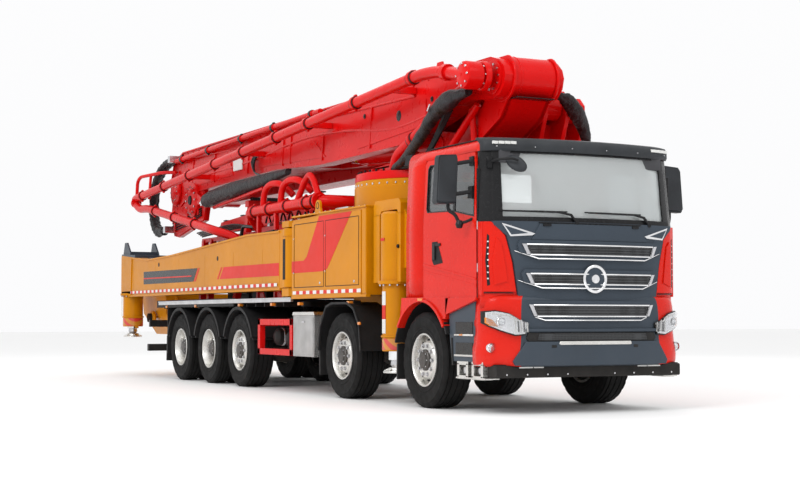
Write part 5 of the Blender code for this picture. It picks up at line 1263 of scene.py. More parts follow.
locker = Piece("right_locker_look", chequer_plate, red, black_paint, rim_silver, steel, black_plastic, iron)
locker.box((-3.84, -3.12), (-1.235, -0.74), (0.50, 1.05), 0)
locker.plate([(-3.86, 1.05), (-3.10, 1.05), (-3.13, 1.095), (-3.83, 1.095)], (-1.245, -0.73), mark=3)
locker.box((-3.81, -3.15), (-1.243, -1.235), (0.53, 1.02), 0)
locker.box((-3.50, -3.42), (-1.256, -1.243), (0.95, 0.975), 4)
for a, b in (((-5.15, -3.86), (0.50, 0.585)), ((-5.15, -3.86), (0.915, 1.00)), ((-5.15, -5.06), (0.50, 1.00)),
             ((-3.95, -3.86), (0.50, 1.00))):
    locker.box(a, (-1.245, -1.165), b, 1)
for x in (-5.10, -3.90):
    locker.box((x - 0.04, x + 0.04), (-1.17, -0.47), (0.90, 0.98), 1)
for x, z, r in ((-4.75, 0.75, 0.12), (-4.30, 0.72, 0.115)):
    locker.turn([(0.0, -1.14), (r * 0.6, -1.135), (r, -1.10), (r, -0.66), (0.0, -0.64)], (x, 0, z), "Y", 32,
                2)
    for y in (-1.04, -0.76):
        locker.turn([(r + 0.002, y), (r + 0.008, y), (r + 0.008, y + 0.03), (r + 0.002, y + 0.03)], (x, 0, z),
                    "Y", 32, 4)
locker.turn([(0.0, -1.12), (0.06, -1.11), (0.075, -1.08), (0.075, -0.95), (0.0, -0.95)], (-4.05, 0, 0.70),
            "Y", 24, 3)
for k in range(5):
    x = -4.95 + k * 0.2
    locker.tube(smooth_path([(x, -1.0, 0.90), (x + 0.05, -1.02, 0.96), (x + 0.3, -0.9, 1.02),
                             (x + 0.4, -0.6, 1.03)], 0.05), 0.011, 8, 5)
locker.box((-5.05, -3.96), (-0.72, -0.50), (0.58, 0.98), 2)
locker.make("chassis", "locker", bevel=0.006, replaces="right_locker")

tank = Piece("left_fuel_tank_look", aluminium, black_plastic, steel, red, chequer_plate)
body = [(0.74, 0.50), (1.17, 0.50), (1.235, 0.56), (1.245, 0.64), (1.245, 0.96), (1.22, 1.03), (1.15, 1.05),
        (0.74, 1.05)]
tank.plate(body, (-5.05, -3.15), "YZ")
for x in (-4.80, -4.10, -3.45):
    strap = [(y + 0.008 if y > 0.8 else y, z + (0.008 if z > 0.8 else -0.008)) for y, z in body]
    tank.plate(strap, (x - 0.03, x + 0.03), "YZ", 2)
tank.turn([(0.055, 0.0), (0.060, 0.05), (0.052, 0.065), (0.0, 0.065)], (-3.75, 1.0, 1.05), "Z", 24, 1)
tank.box((-5.02, -3.18), (1.10, 1.235), (1.05, 1.065), 4)
tank.make("chassis", "locker", bevel=0.012, replaces="left_fuel_tank")


# ---------------------------------------------------------------- turret
def clamp(piece, at, along, radius, marks=(0, 1), bolt=None):
    """Pipe clamp: a raised ring with a dark band either side."""
    at, along = Vector(at), Vector(along).normalized()
    piece.rod(at - along * 0.030, at + along * 0.030, radius + 0.020, 20, marks[0])
    for shift in (-0.046, 0.046):
        piece.rod(at + along * (shift - 0.010), at + along * (shift + 0.010), radius + 0.012, 20, marks[1])
    side = along.cross(Vector((0, 0, 1)))
    side = side.normalized() if side.length > 0.1 else Vector((0, 1, 0))
    up = side.cross(along).normalized()
    for s in (-1, 1):
        lug = at + up * s * (radius + 0.022)
        piece.rod(lug - along * 0.022, lug + along * 0.022, 0.020, 8, marks[0])


base = Piece("turret_look", red, steel, black_paint, gloss_black, hose_wrap)
base.turn([(0.55, 2.762), (0.948, 2.762), (0.950, 2.80), (0.940, 2.862), (0.90, 2.872), (0.20, 2.872),
           (0.0, 2.872)], (-2.25, 0, 0), "Z", 96)
base.bolts((-2.25, 0, 2.868), 0.905, 44, 0.016, 0.030, "Z", 2, 1)
cheek = [(-3.10, 2.84), (-1.36, 2.84), (-1.10, 3.00), (-0.30, 3.03), (0.30, 3.30), (0.60, 3.65), (0.60, 3.85),
         (0.20, 3.87),
         (-0.10, 3.48), (-0.70, 3.24), (-1.20, 3.32), (-1.45, 3.08), (-3.10, 3.02)]
for y0, y1 in ((-0.40, -0.335), (0.115, 0.18)):
    base.plate(cheek, (y0, y1))
base.plate([(-0.46, 3.02), (-0.30, 3.03), (0.30, 3.30), (0.60, 3.65), (0.55, 3.66), (0.25, 3.36),
            (-0.34, 3.09)], (-0.385, 0.165))
base.plate([(-3.08, 2.99), (-1.47, 2.99), (-1.47, 3.02), (-3.08, 3.02)], (-0.40, 0.18))
base.plate([(-0.62, 3.03), (-0.30, 3.03), (-0.30, 3.06), (-0.62, 3.06)], (-0.52, 0.30))
for y in (-0.395, 0.175):
    base.turn([(0.12, -0.012), (0.272, -0.012), (0.278, 0.0), (0.272, 0.022), (0.12, 0.022)],
              (0.38, y, 3.75) if y > 0 else (0.38, y, 3.75), "Y", 64)
base.turn([(0.0, -0.38), (0.246, -0.38), (0.246, 0.16), (0.0, 0.16)], (0.38, 0, 3.75), "Y", 64)
base.turn([(0.246, -0.30), (0.252, -0.298), (0.252, -0.282), (0.246, -0.28)], (0.38, 0, 3.75), "Y", 64)
# a thin gloss black sheet just under the drum: painted shadow beneath the drum
base.box((0.10, 0.62), (-0.36, 0.14), (3.500, 3.512), 3)
base.turn([(0.0, -0.515), (0.098, -0.515), (0.098, 0.255), (0.0, 0.255)], (0.38, 0, 3.75), "Y", 32)
base.turn([(0.0, -0.30), (0.05, -0.30), (0.05, 0.10), (0.0, 0.10)], (-1.15, 0, 3.14), "Y", 24, 1)
for y0, y1 in ((-0.42, -0.40), (0.18, 0.20)):
    base.turn([(0.0, y0), (0.10, y0), (0.105, (y0 + y1) / 2), (0.10, y1), (0.0, y1)], (-1.15, 0, 3.14), "Y",
              24)
riser = smooth_path([(-2.0, -0.62, 2.84), (-1.90, -0.62, 3.06), (-0.24, -0.62, 3.66), (0.30, -0.62, 3.745),
                     (0.38, -0.62, 3.75)], 0.25, 10)
base.tube(riser, 0.075, 24)
for x in (-1.45, -0.75):
    z = 3.06 + (x + 1.90) * 0.60 / 1.66
    clamp(base, (x, -0.62, z), (1.66, 0, 0.60), 0.075, (0, 3))
    base.box((x - 0.05, x + 0.05), (-0.60, -0.39), (z - 0.05, z + 0.03))
base.turn([(0.0, -0.70), (0.16, -0.70), (0.17, -0.685), (0.17, -0.64), (0.155, -0.62), (0.0, -0.60)],
          (0.38, 0, 3.75), "Y", 40)
base.bolts((0.38, -0.70, 3.75), 0.135, 8, 0.014, 0.015, "Y", 1, -1)
for start, end, r in (((-0.08, -0.47, 3.50), (-0.72, -0.60, 2.88), 0.045),
                      ((-0.22, -0.47, 3.47), (-0.22, -0.44, 3.04), 0.04),
                      ((-1.62, -0.55, 2.87), (-1.62, -0.50, 3.10), 0.05),
                      ((-1.30, 0.26, 2.87), (-0.60, 0.24, 3.20), 0.045)):
    base.rod(start, end, r, 16)
for k in range(4):
    base.tube(smooth_path([(-2.3 + 0.1 * k, 0.30, 2.88), (-2.2 + 0.1 * k, 0.32, 3.04),
                           (-1.5, 0.30 + 0.02 * k, 3.12), (-0.9, 0.24, 3.22 + 0.03 * k)], 0.1), 0.014, 8, 3)
for x in (-2.95, -1.60):
    base.box((x, x + 0.05), (-0.50, -0.40), (2.87, 2.99)).box((x, x + 0.05), (0.18, 0.28), (2.87, 2.99))
base.make("turret", "boom_red", bevel=0.007, replaces="turret")

shroud = Piece("hinge_wraps", hose_wrap, steel, black_plastic)
shroud.tube(smooth_path([(0.18, -0.735, 3.60), (-0.22, -0.775, 3.56), (-0.55, -0.79, 3.44),
                         (-0.95, -0.77, 3.20), (-1.45, -0.73, 2.98), (-1.75, -0.72, 2.90)], 0.25, 8),
            [0.06, 0.085, 0.10, 0.115, 0.13, 0.135, 0.14, 0.135, 0.13, 0.13, 0.125, 0.12, 0.115, 0.12, 0.11,
             0.105, 0.10, 0.098, 0.105, 0.095, 0.09, 0.085,
             0.09, 0.095, 0.09, 0.085, 0.08, 0.08, 0.08, 0.075, 0.075, 0.075, 0.07, 0.07, 0.065, 0.065, 0.06,
             0.06], 20, flat=0.8)
for k in range(3):
    shroud.tube(smooth_path([(-0.30, -0.70 - 0.03 * k, 3.45), (-0.8, -0.69, 3.05 + 0.03 * k),
                             (-1.2, -0.66, 2.88), (-1.75, -0.66 - 0.03 * k, 2.89)], 0.2), 0.022, 10, 2)
shroud.rod((-0.52, -0.905, 3.45), (-0.47, -0.90, 3.52), 0.012, 8, 1)
shroud.make("turret", "hose", smooth=70)


# ---------------------------------------------------------------- boom
arm = Piece("boom_1_look", red, steel, black_paint, gloss_black, hose_wrap, white_paint, chrome)
top = [(-0.02, 3.97), (-0.60, 3.995), (-10.8, 3.995), (-11.3, 3.85), (-11.5, 3.45)]
low = [(-11.35, 3.10), (-10.9, 3.02), (-10.3, 3.22), (-6.3, 3.28), (-4.6, 3.20), (-1.80, 3.22), (-0.75, 3.45),
       (-0.16, 3.62)]
outline = top + low
for y0, y1 in ((-0.512, -0.30), (0.08, 0.252)):
    arm.plate(outline, (y0, y1))
arm.plate([(-5.2, 3.995), (-10.8, 3.995), (-11.3, 3.85), (-11.5, 3.45), (-11.35, 3.10), (-10.9, 3.02),
           (-10.3, 3.22), (-6.3, 3.28), (-5.2, 3.23)], (-0.31, 0.09))
arm.plate([(-0.5, 3.64), (-0.5, 3.985), (-5.3, 3.985), (-5.3, 3.53)], (-0.31, 0.09))
# flanges following the edges
for run in (top[1:], low):
    for (x0, z0), (x1, z1) in zip(run, run[1:]):
        dx, dz = x1 - x0, z1 - z0
        size = math.hypot(dx, dz)
        nx, nz = -dz / size * 0.022, dx / size * 0.022
        for y0, y1 in ((-0.535, -0.505), (0.245, 0.275)):
            arm.plate([(x0, z0), (x1, z1), (x1 + nx, z1 + nz), (x0 + nx, z0 + nz)], (y0, y1))
for y0, y1 in ((-0.52, -0.402), (0.182, 0.26)):
    arm.plate([(-0.60, 4.0), (0.30, 3.998), (0.50, 3.94), (0.60, 3.85), (0.635, 3.75), (0.60, 3.63),
               (0.50, 3.54), (0.38, 3.51), (-0.20, 3.56), (-0.75, 3.50)], (y0, y1))
for y0, y1 in ((-0.545, -0.515), (0.255, 0.280)):
    arm.turn([(0.0, y0), (0.175, y0), (0.195, y0 + 0.006), (0.195, y1), (0.0, y1)], (0.38, 0, 3.75), "Y", 48)
    arm.plate([(-0.9, 3.86), (0.22, 3.90), (0.16, 3.62), (-0.9, 3.62)], (y0 + 0.012, y1))
arm.bolts((0.38, -0.545, 3.75), 0.145, 10, 0.016, 0.014, "Y", 1, -1)
# stiffeners, welds and holes on the right face; each hole is a proud gloss black disc, painted shade for the dark
# inside of the hole
for x, z0, z1 in ((-2.95, 3.27, 3.82), (-4.55, 3.26, 3.60), (-5.75, 3.32, 3.88), (-6.05, 3.32, 3.88),
                  (-7.55, 3.33, 3.80), (-9.15, 3.32, 3.86), (-10.3, 3.30, 3.80)):
    arm.plate([(x, z0), (x + 0.03, z0), (x + 0.10, z1), (x + 0.07, z1)], (-0.53, -0.51))
for points in ([(-0.9, 3.55), (-2.2, 3.42), (-3.8, 3.62), (-5.4, 3.66), (-7.0, 3.52), (-10.2, 3.46)],
               [(-10.4, 3.86), (-8.0, 3.78), (-5.0, 3.86), (-1.6, 3.80)]):
    path = smooth_path([(x, -0.515, z) for x, z in points], 0.8, 8)
    arm.tube(path, 0.018, 8)
arm.plate([(-1.3, 3.40), (-3.3, 3.30), (-3.6, 3.52), (-2.4, 3.70), (-1.3, 3.72)], (-0.524, -0.51))
arm.plate([(-4.4, 3.30), (-6.9, 3.38), (-6.6, 3.60), (-4.8, 3.56)], (-0.522, -0.51))
arm.plate([(-8.2, 3.36), (-10.7, 3.32), (-10.9, 3.70), (-8.4, 3.72)], (-0.522, -0.51))
for x, z, r in ((-2.05, 3.60, 0.065), (-1.15, 3.70, 0.022), (-3.1, 3.72, 0.020), (-5.1, 3.76, 0.018),
                (-7.2, 3.74, 0.018), (-9.9, 3.56, 0.03)):
    arm.turn([(0.0, -0.528), (r, -0.528), (r + 0.012, -0.520), (r + 0.012, -0.505)], (x, 0, z), "Y", 24, 3)
for k in range(5):
    arm.row((-0.35 - 2.4 * k, -0.512, 3.95), (-1.55 - 2.4 * k, -0.512, 3.95), 5, 0.011, (0, -0.012, 0), 0)
# blank plate, rear hub, round bolted hinge and knee plates
arm.box((-8.15, -7.75), (-0.536, -0.52), (3.42, 3.60), 5)
arm.turn([(0.0, -0.575), (0.20, -0.575), (0.255, -0.555), (0.258, -0.52), (0.0, -0.50)], (-11.15, 0, 3.30),
         "Y", 48)
arm.turn([(0.0, 0.250), (0.258, 0.250), (0.258, 0.305), (0.0, 0.318)], (-11.15, 0, 3.30), "Y", 48)
arm.turn([(0.0, 0.25), (0.068, 0.25), (0.068, 0.705), (0.0, 0.71)], (-11.15, 0, 3.30), "Y", 32, 1)
arm.bolts((-11.15, -0.575, 3.30), 0.165, 12, 0.016, 0.014, "Y", 1, -1)
arm.turn([(0.06, -0.60), (0.20, -0.60), (0.30, -0.565), (0.305, -0.50), (0.06, -0.50)], (-10.15, 0, 3.08),
         "Y", 48)
arm.bolts((-10.15, -0.59, 3.08), 0.235, 12, 0.018, 0.02, "Y", 1, -1)
arm.turn([(0.0, -0.62), (0.075, -0.62), (0.085, -0.60), (0.085, -0.50)], (-10.15, 0, 3.08), "Y", 32, 2)
knee = [(-10.95, 3.24), (-11.42, 3.24), (-11.49, 2.95), (-11.34, 2.51), (-11.05, 2.47), (-9.65, 2.70),
        (-9.55, 2.95), (-9.7, 3.25)]
arm.plate(knee, (-0.50, -0.425))
arm.plate([(x * 0.97 - 0.315, z * 0.92 + 0.23) for x, z in knee], (-0.515, -0.49))
for k in range(4):
    arm.tube(smooth_path([(-11.35, -0.53, 2.60 + 0.045 * k), (-10.6, -0.53, 2.66 + 0.045 * k),
                          (-9.75, -0.53, 2.80 + 0.04 * k)], 0.3), 0.013, 8, 2)
for x, z in ((-11.2, 2.62), (-10.5, 2.75), (-9.9, 2.85)):
    arm.box((x - 0.03, x + 0.03), (-0.548, -0.51), (z - 0.04, z + 0.20), 0)
# wrapped cylinder beneath, the link beside it and hoses looping down
arm.tube([(-9.35, -0.60, 3.00), (-9.25, -0.60, 3.01), (-9.0, -0.60, 3.04), (-8.5, -0.60, 3.075),
          (-7.9, -0.60, 3.10), (-7.2, -0.60, 3.125), (-6.4, -0.60, 3.15), (-5.6, -0.60, 3.19)],
         [0.085, 0.118, 0.128, 0.122, 0.130, 0.105, 0.09, 0.05], 20, 4)
arm.turn([(0.0, -0.05), (0.05, -0.05), (0.05, 0.05), (0.0, 0.05)], (-9.42, -0.60, 2.99), "Y", 20, 6)
arm.rod((-9.52, -0.60, 2.985), (-9.30, -0.60, 3.005), 0.05, 16, 6)
arm.plate([(-9.9, 3.18), (-9.4, 3.02), (-9.38, 2.96), (-9.5, 2.93), (-10.0, 3.02)], (-0.57, -0.52))
arm.rod((-6.6, -0.60, 3.02), (-9.0, -0.56, 2.88), 0.032, 12, 0)
for k in range(3):
    arm.tube(smooth_path([(-6.95 - 0.06 * k, -0.54, 3.62), (-7.10 - 0.06 * k, -0.575, 3.50),
                          (-7.05, -0.59, 3.30), (-6.6, -0.60, 3.20), (-5.6, -0.56, 3.22)], 0.15), 0.016, 8, 3)
# second line along the upper edge
upper = [(-10.95, -0.60, 3.84), (-7.6, -0.60, 3.90), (-4.4, -0.60, 3.945)]
arm.tube(upper, 0.042, 16)
for x in (-10.6, -9.2, -7.6, -6.2, -4.7):
    clamp(arm, (x, -0.60, 3.84 + (x + 10.95) * 0.105 / 6.55), (6.55, 0, 0.105), 0.042, (3, 0))
    arm.box((x - 0.03, x + 0.03), (-0.60, -0.51), (3.80 + (x + 10.95) * 0.016, 3.86 + (x + 10.95) * 0.016))
# rear guard tube and the post beneath it
arm.tube(smooth_path([(-11.1, -0.55, 3.66), (-11.5, -0.70, 3.68), (-12.30, -0.86, 3.66),
                      (-12.42, -0.88, 3.58), (-12.46, -0.88, 3.30)], 0.12), 0.032, 14)
arm.rod((-11.9, -0.78, 3.67), (-11.95, -0.80, 3.22), 0.026, 12)
arm.make("boom_1", "boom_red", bevel=0.006, replaces="boom_1")

y = -0.88
line = Piece("boom_pipe_look", red, gloss_black, steel)
path = smooth_path([(0.38, y, 3.75), (-0.28, y, 3.89), (-0.75, y, 3.915), (-12.64, y, 3.26),
                    (-12.30, y, 3.05), (-11.75, y, 3.03),
                    (-8.1, y, 2.44), (-7.6, -0.66, 2.30), (-7.3, -0.60, 2.10)], 0.22, 10)
line.tube(path, 0.072, 28)
slope = Vector((11.89, 0, 0.655))
for x in (-0.95, -2.6, -4.2, -5.4, -6.8, -8.1, -9.4, -10.8, -12.1):
    z = 3.915 + (x + 0.75) * 0.655 / 11.89
    clamp(line, (x, y, z), slope, 0.072, (0, 1))
for x in (-1.6, -4.2, -6.8, -9.4):
    z = 3.915 + (x + 0.75) * 0.655 / 11.89
    line.plate([(x - 0.05, z - 0.05), (x + 0.05, z - 0.05), (x + 0.04, z + 0.03), (x - 0.04, z + 0.03)],
               (y, -0.52))
    line.row((x - 0.03, -0.535, z), (x + 0.03, -0.535, z), 2, 0.012, (0, -0.02, 0), 2)
for x in (-11.3, -10.2, -9.1):
    clamp(line, (x, y, 2.44 - (x + 8.1) * 0.59 / 3.65), Vector((3.65, 0, -0.59)), 0.072, (0, 1))
for at, along in (((-12.50, y, 3.19), (1, 0, 0.3)),):
    clamp(line, at, along, 0.076, (0, 0))
line.rod((-0.12, y, 3.855), (-0.04, y, 3.84), 0.098, 28)
line.turn([(0.0, -0.945), (0.10, -0.945), (0.150, -0.925), (0.160, -0.90), (0.160, -0.74), (0.145, -0.72),
           (0.0, -0.72)], (0.38, 0, 3.75), "Y", 48)
line.bolts((0.38, -0.935, 3.75), 0.125, 8, 0.014, 0.014, "Y", 2, -1)
line.plate([(-0.30, 3.99), (-0.18, 3.99), (-0.16, 3.88), (-0.34, 3.88)], (y - 0.012, y + 0.012))
line.box((-1.02, -0.88), (y - 0.01, y + 0.01), (3.96, 3.995))
line.make("boom_1", "boom_red", bevel=0.003, replaces="boom_pipe", smooth=50)

loop = Piece("hose_loop_look", hose_wrap, steel, black_plastic)
for k, (dy, shift) in enumerate(((-0.03, 0.0), (0.05, 0.05), (0.01, -0.045))):
    y0 = -0.62 + dy
    path = smooth_path([(-10.98, y0, 3.88), (-11.6, y0, 3.84 - shift), (-12.15 + shift, y0, 3.55),
                        (-12.32 + shift, y0, 3.0),
                        (-12.05 + shift, y0, 2.58 + shift), (-11.3, y0, 2.62)], 0.3, 12)
    loop.tube(path, [0.046 + 0.007 * math.sin(i * 1.9) for i in range(len(path))], 16)
wrap_path = smooth_path([(-11.75, -0.62, 3.76), (-12.13, -0.62, 3.52), (-12.28, -0.62, 3.0),
                         (-12.05, -0.62, 2.64), (-11.55, -0.62, 2.61)], 0.25, 14)
loop.tube(wrap_path, [0.078 + 0.008 * math.sin(i * 1.3) + 0.004 * math.sin(i * 2.9) for i in range(len(wrap_path))], 20)
for x, z in ((-11.02, 3.88), (-11.27, 2.62)):
    loop.box((x - 0.06, x + 0.06), (-0.72, -0.51), (z - 0.06, z + 0.06), 1)
loop.make("boom_1", "hose", replaces="hose_loop", smooth=70)


def beam(name, y0, y1, pieces, hubs, pins, clamps=(), line_at=None):
    """A folded section: tapered box, end plates, hubs, pins, stiffeners and its own delivery line."""
    arm = Piece(f"{name}_look", red, steel, gloss_black, black_paint)
    for outline, low_y, high_y in pieces:
        arm.plate(outline, (low_y, high_y))
    for (x, z), radius, low_y, high_y in hubs:
        arm.turn([(0.0, low_y), (radius - 0.02, low_y), (radius, low_y + 0.012), (radius, high_y - 0.012),
                  (radius - 0.02, high_y), (0.0, high_y)], (x, 0, z), "Y", 40)
    for (x, z), radius, low_y, high_y in pins:
        arm.turn([(0.0, low_y), (radius, low_y), (radius, high_y), (0.0, high_y)], (x, 0, z), "Y", 28, 1)
    (xa, za), (xb, zb) = line_at or ((-1.4, 3.3), (-9.4, 3.3))
    for k in range(7):
        t = (k + 0.5) / 7
        x, z = xa + (xb - xa) * t, za + (zb - za) * t
        arm.plate([(x - 0.02, z - 0.11), (x + 0.02, z - 0.11), (x + 0.02, z + 0.11), (x - 0.02, z + 0.11)],
                  (y1 - 0.012, y1 + 0.010))
        arm.plate([(x - 0.02, z - 0.11), (x + 0.02, z - 0.11), (x + 0.02, z + 0.11), (x - 0.02, z + 0.11)],
                  (y0 - 0.010, y0 + 0.012))
    if line_at:
        pipe_y = y1 + 0.085
        arm.tube([(xa, pipe_y, za), (xb, pipe_y, zb)], 0.060, 24)
        for k in range(5):
            t = (k + 0.5) / 5
            at = (xa + (xb - xa) * t, pipe_y, za + (zb - za) * t)
            clamp(arm, at, (xa - xb, 0, za - zb), 0.060, (0, 2))
            arm.box((at[0] - 0.03, at[0] + 0.03), (y1 - 0.01, pipe_y), (at[2] - 0.03, at[2] + 0.03))
        for end, other in (((xa, za), 1), ((xb, zb), -1)):
            arm.turn([(0.0, -0.03), (0.075, -0.03), (0.085, 0.0), (0.075, 0.03), (0.0, 0.03)],
                     (end[0], pipe_y, end[1]), "Y", 24)
    arm.make(name, "boom_red", bevel=0.006, replaces=name)


def taper(root, tip, depth):
    (x0, z0), (x1, z1) = root, tip
    return [(x0, z0 - depth[0] / 2), (x1, z1 - depth[1] / 2), (x1, z1 + depth[1] / 2),
            (x0, z0 + depth[0] / 2)]


fork_2 = [(-0.9, 3.12), (-0.02, 3.12), (0.10, 3.40), (0.10, 3.60), (-0.02, 3.72), (-0.18, 3.72),
          (-0.32, 3.60), (-0.9, 3.25)]
beam("boom_2", 0.33, 0.67, [(taper((-11.05, 3.30), (-0.25, 3.22), (0.40, 0.24)), 0.335, 0.665),
                            (fork_2, 0.32, 0.378), (fork_2, 0.622, 0.68)],
     [((-11.15, 3.30), 0.24, 0.322, 0.68)], [((-0.10, 3.52), 0.070, 0.315, 0.685), ((-11.15, 3.30), 0.05,
         0.68, 0.72)])
beam("boom_3", 0.35, 0.65, [(taper((-0.55, 3.74), (-10.3, 3.72), (0.32, 0.30)), 0.352, 0.648),
     ([(-0.9, 3.60), (-0.9, 3.86), (-0.30, 3.80), (0.02, 3.66), (0.02, 3.42), (-0.18, 3.40)], 0.385, 0.615)],
     [((-0.10, 3.52), 0.15, 0.383, 0.617), ((-10.40, 3.72), 0.17, 0.342, 0.658),
      ((-10.40, 3.72), 0.155, 0.645, 0.735)],
     [((-10.40, 3.72), 0.068, 0.65, 1.065)])
neck = [(-10.58, 3.70), (-10.4, 3.30), (-10.1, 3.16), (-9.7, 3.16), (-9.7, 3.50), (-10.0, 3.53),
        (-10.22, 3.74)]
fork_4 = [(-1.0, 3.13), (-0.22, 3.13), (-0.12, 3.38), (-0.12, 3.58), (-0.22, 3.68), (-0.38, 3.68),
          (-0.50, 3.56), (-1.0, 3.25)]
beam("boom_4", 0.75, 1.03, [(taper((-10.2, 3.34), (-0.45, 3.22), (0.34, 0.22)), 0.75, 1.03),
                            (neck, 0.745, 1.035), (fork_4, 0.74, 0.788), (fork_4, 0.992, 1.04)],
     [((-10.40, 3.72), 0.19, 0.742, 1.04)], [((-0.30, 3.50), 0.058, 0.735, 1.045)],
     line_at=((-1.1, 3.26), (-9.6, 3.33)))
beam("boom_5", 0.77, 1.01, [(taper((-0.75, 3.69), (-9.60, 3.68), (0.26, 0.18)), 0.765, 1.015),
     ([(-1.1, 3.60), (-1.1, 3.80), (-0.50, 3.76), (-0.20, 3.62), (-0.20, 3.42), (-0.36, 3.40)], 0.795,
      0.985)],
     [((-0.30, 3.50), 0.12, 0.792, 0.988)], [], line_at=((-1.0, 3.69), (-9.75, 3.68)))

tip = Piece("end_hose", hose_wrap, steel, red)
tip.tube(smooth_path([(-9.75, 1.095, 3.68), (-10.0, 1.095, 3.66), (-10.05, 1.09, 3.45), (-9.6, 1.10, 3.46),
                      (-8.2, 1.10, 3.47)], 0.12, 10), 0.062, 20)
tip.rod((-9.70, 1.095, 3.68), (-9.86, 1.095, 3.68), 0.075, 24, 1)
tip.box((-8.6, -8.5), (1.00, 1.18), (3.40, 3.62), 2)
tip.make("boom_5", "hose", smooth=60)

left_wrap = Piece("left_hinge_wraps", hose_wrap, red, steel)
left_wrap.tube(smooth_path([(0.30, 0.36, 3.62), (0.28, 0.52, 3.58), (0.16, 0.74, 3.44), (0.02, 0.92, 3.30),
                            (-0.02, 0.99, 3.16), (-0.06, 1.0, 3.05)], 0.16, 8),
               [0.045, 0.055, 0.06, 0.075, 0.085, 0.08, 0.085, 0.09, 0.085, 0.09, 0.095, 0.09, 0.095, 0.10,
                0.095, 0.10, 0.095, 0.09, 0.09, 0.085, 0.085,
                0.08, 0.08, 0.08, 0.075, 0.075, 0.07, 0.07, 0.07, 0.07, 0.065, 0.065, 0.06, 0.06, 0.06, 0.06,
                0.06, 0.06], 18, flat=0.6)
left_wrap.make("boom_1", "hose", smooth=70)

lift = Piece("lift_cylinder_look", red, steel, gloss_black)
foot, eye_at = Vector((-1.15, -0.11, 3.14)), Vector((-4.20, -0.11, 3.30))
along = (eye_at - foot).normalized()
reach = (eye_at - foot).length
lift.rod(foot + along * 0.08, foot + along * (reach - 0.26), 0.120, 36)
lift.rod(foot + along * (reach - 0.30), foot + along * (reach - 0.20), 0.126, 36)
lift.rod(foot + along * 0.16, foot + along * 0.22, 0.126, 36)
lift.turn([(0.0, -0.205), (0.11, -0.205), (0.11, 0.205), (0.0, 0.205)], (foot.x, -0.11, foot.z), "Y", 36)
lift.tube([foot + along * 0.3 + Vector((0, 0, -0.135)), foot + along * (reach - 0.35) + Vector((0, 0,
    -0.135))], 0.014, 10)
lift.make("lift_cylinder", "boom_red", replaces="lift_cylinder", bevel=0.004)
ram = Piece("lift_rod_look", chrome, steel)
ram.rod(foot + along * 0.5, eye_at - along * 0.05, 0.0735, 32)
ram.turn([(0.0, -0.072), (0.095, -0.072), (0.10, -0.06), (0.10, 0.06), (0.095, 0.072), (0.0, 0.072)],
         (eye_at.x, -0.11, eye_at.z), "Y", 32, 1)
ram.make("lift_rod", "steel", replaces="lift_rod", bevel=0.003)


# ---------------------------------------------------------------- deck line
deck_line = Piece("deck_pipes_look", red, gloss_black, steel, black_paint)
deck_line.tube(smooth_path([(-6.35, -0.88, 2.62), (-3.80, -0.88, 2.62), (-3.66, -0.62, 2.61),
                            (-3.62, -0.45, 2.60)], 0.18, 10), 0.082, 28)
for x in (-6.25, -5.65, -4.95, -4.25, -3.95):
    clamp(deck_line, (x, -0.88, 2.62), (1, 0, 0), 0.082, (0, 1))
for x in (-5.9, -5.2):
    deck_line.tube(smooth_path([(x, -0.88, 2.62), (x + 0.04, -0.88, 2.90), (x + 0.28, -0.88, 3.00),
                                (x + 0.62, -0.84, 2.98), (x + 0.75, -0.70, 2.80)], 0.20, 8), 0.048, 18)
deck_line.tube(smooth_path([(-4.6, -0.88, 2.64), (-4.30, -0.88, 2.93), (-4.12, -0.88, 3.02),
                            (-3.98, -0.88, 2.92), (-3.78, -0.88, 2.66)], 0.10, 8), 0.045, 18)
deck_line.turn([(0.05, -0.02), (0.115, -0.02), (0.118, 0.0), (0.115, 0.02), (0.05, 0.02)],
               (-3.78, -0.88, 2.62), "X", 28)
deck_line.tube(smooth_path([(-6.35, -0.88, 2.62), (-6.5, -0.86, 2.60), (-6.6, -0.70, 2.45),
                            (-6.6, -0.60, 2.30)], 0.1), 0.082, 24)
for x in (-6.10, -5.40):
    deck_line.box((x, x + 0.07), (-0.91, -0.85), (1.30, 2.56), 0)
    deck_line.box((x - 0.06, x + 0.13), (-0.97, -0.79), (1.292, 1.31), 0)
    deck_line.plate([(x + 0.07, 1.31), (x + 0.30, 1.31), (x + 0.07, 1.60)], (-0.89, -0.87))
deck_line.box((-6.5, -4.3), (-0.70, -0.55), (2.30, 2.40), 0)
for k in range(7):
    x = -6.2 + 0.3 * k
    deck_line.tube(smooth_path([(x, -0.62, 2.40), (x, -0.66, 2.55), (x + 0.12, -0.74, 2.56),
                                (x + 0.16, -0.78, 2.44)], 0.05), 0.015, 8, 1)
    deck_line.box((x - 0.04, x + 0.05), (-0.68, -0.58), (2.40, 2.46), 2)
deck_line.make("chassis", "boom_red", bevel=0.004, replaces="deck_pipes", smooth=50)


# ---------------------------------------------------------------- deck plant, rest, rear end
plant = Piece("deck_plant", red, black_paint, aluminium, gloss_black, steel, grille_mesh, hose_wrap,
              chequer_plate, yellow)
# oil tank with cap and sight glass
plant.box((-5.55, -4.55), (-0.40, 0.52), (1.30, 2.42), 0)
plant.box((-5.60, -4.50), (-0.43, 0.55), (2.40, 2.44), 0)
for x in (-5.35, -4.80):
    plant.turn([(0.0, 2.53), (0.065, 2.53), (0.075, 2.515), (0.075, 2.44), (0.09, 2.44)], (x, 0.20, 0), "Z",
               24, 3)
plant.box((-5.10, -5.02), (-0.415, -0.40), (1.70, 2.10), 4)
# water tank
tank_line = [(-0.42, 1.32), (0.50, 1.32), (0.55, 1.38), (0.55, 2.30), (0.48, 2.40), (-0.40, 2.40),
             (-0.46, 2.30), (-0.46, 1.38)]
plant.plate(tank_line, (-7.45, -5.75), "YZ", 0)
for x in (-7.2, -6.6, -6.0):
    plant.plate([(y * 1.03, z + (0.012 if z > 1.8 else -0.01)) for y, z in tank_line], (x - 0.03, x + 0.03),
                "YZ", 1)
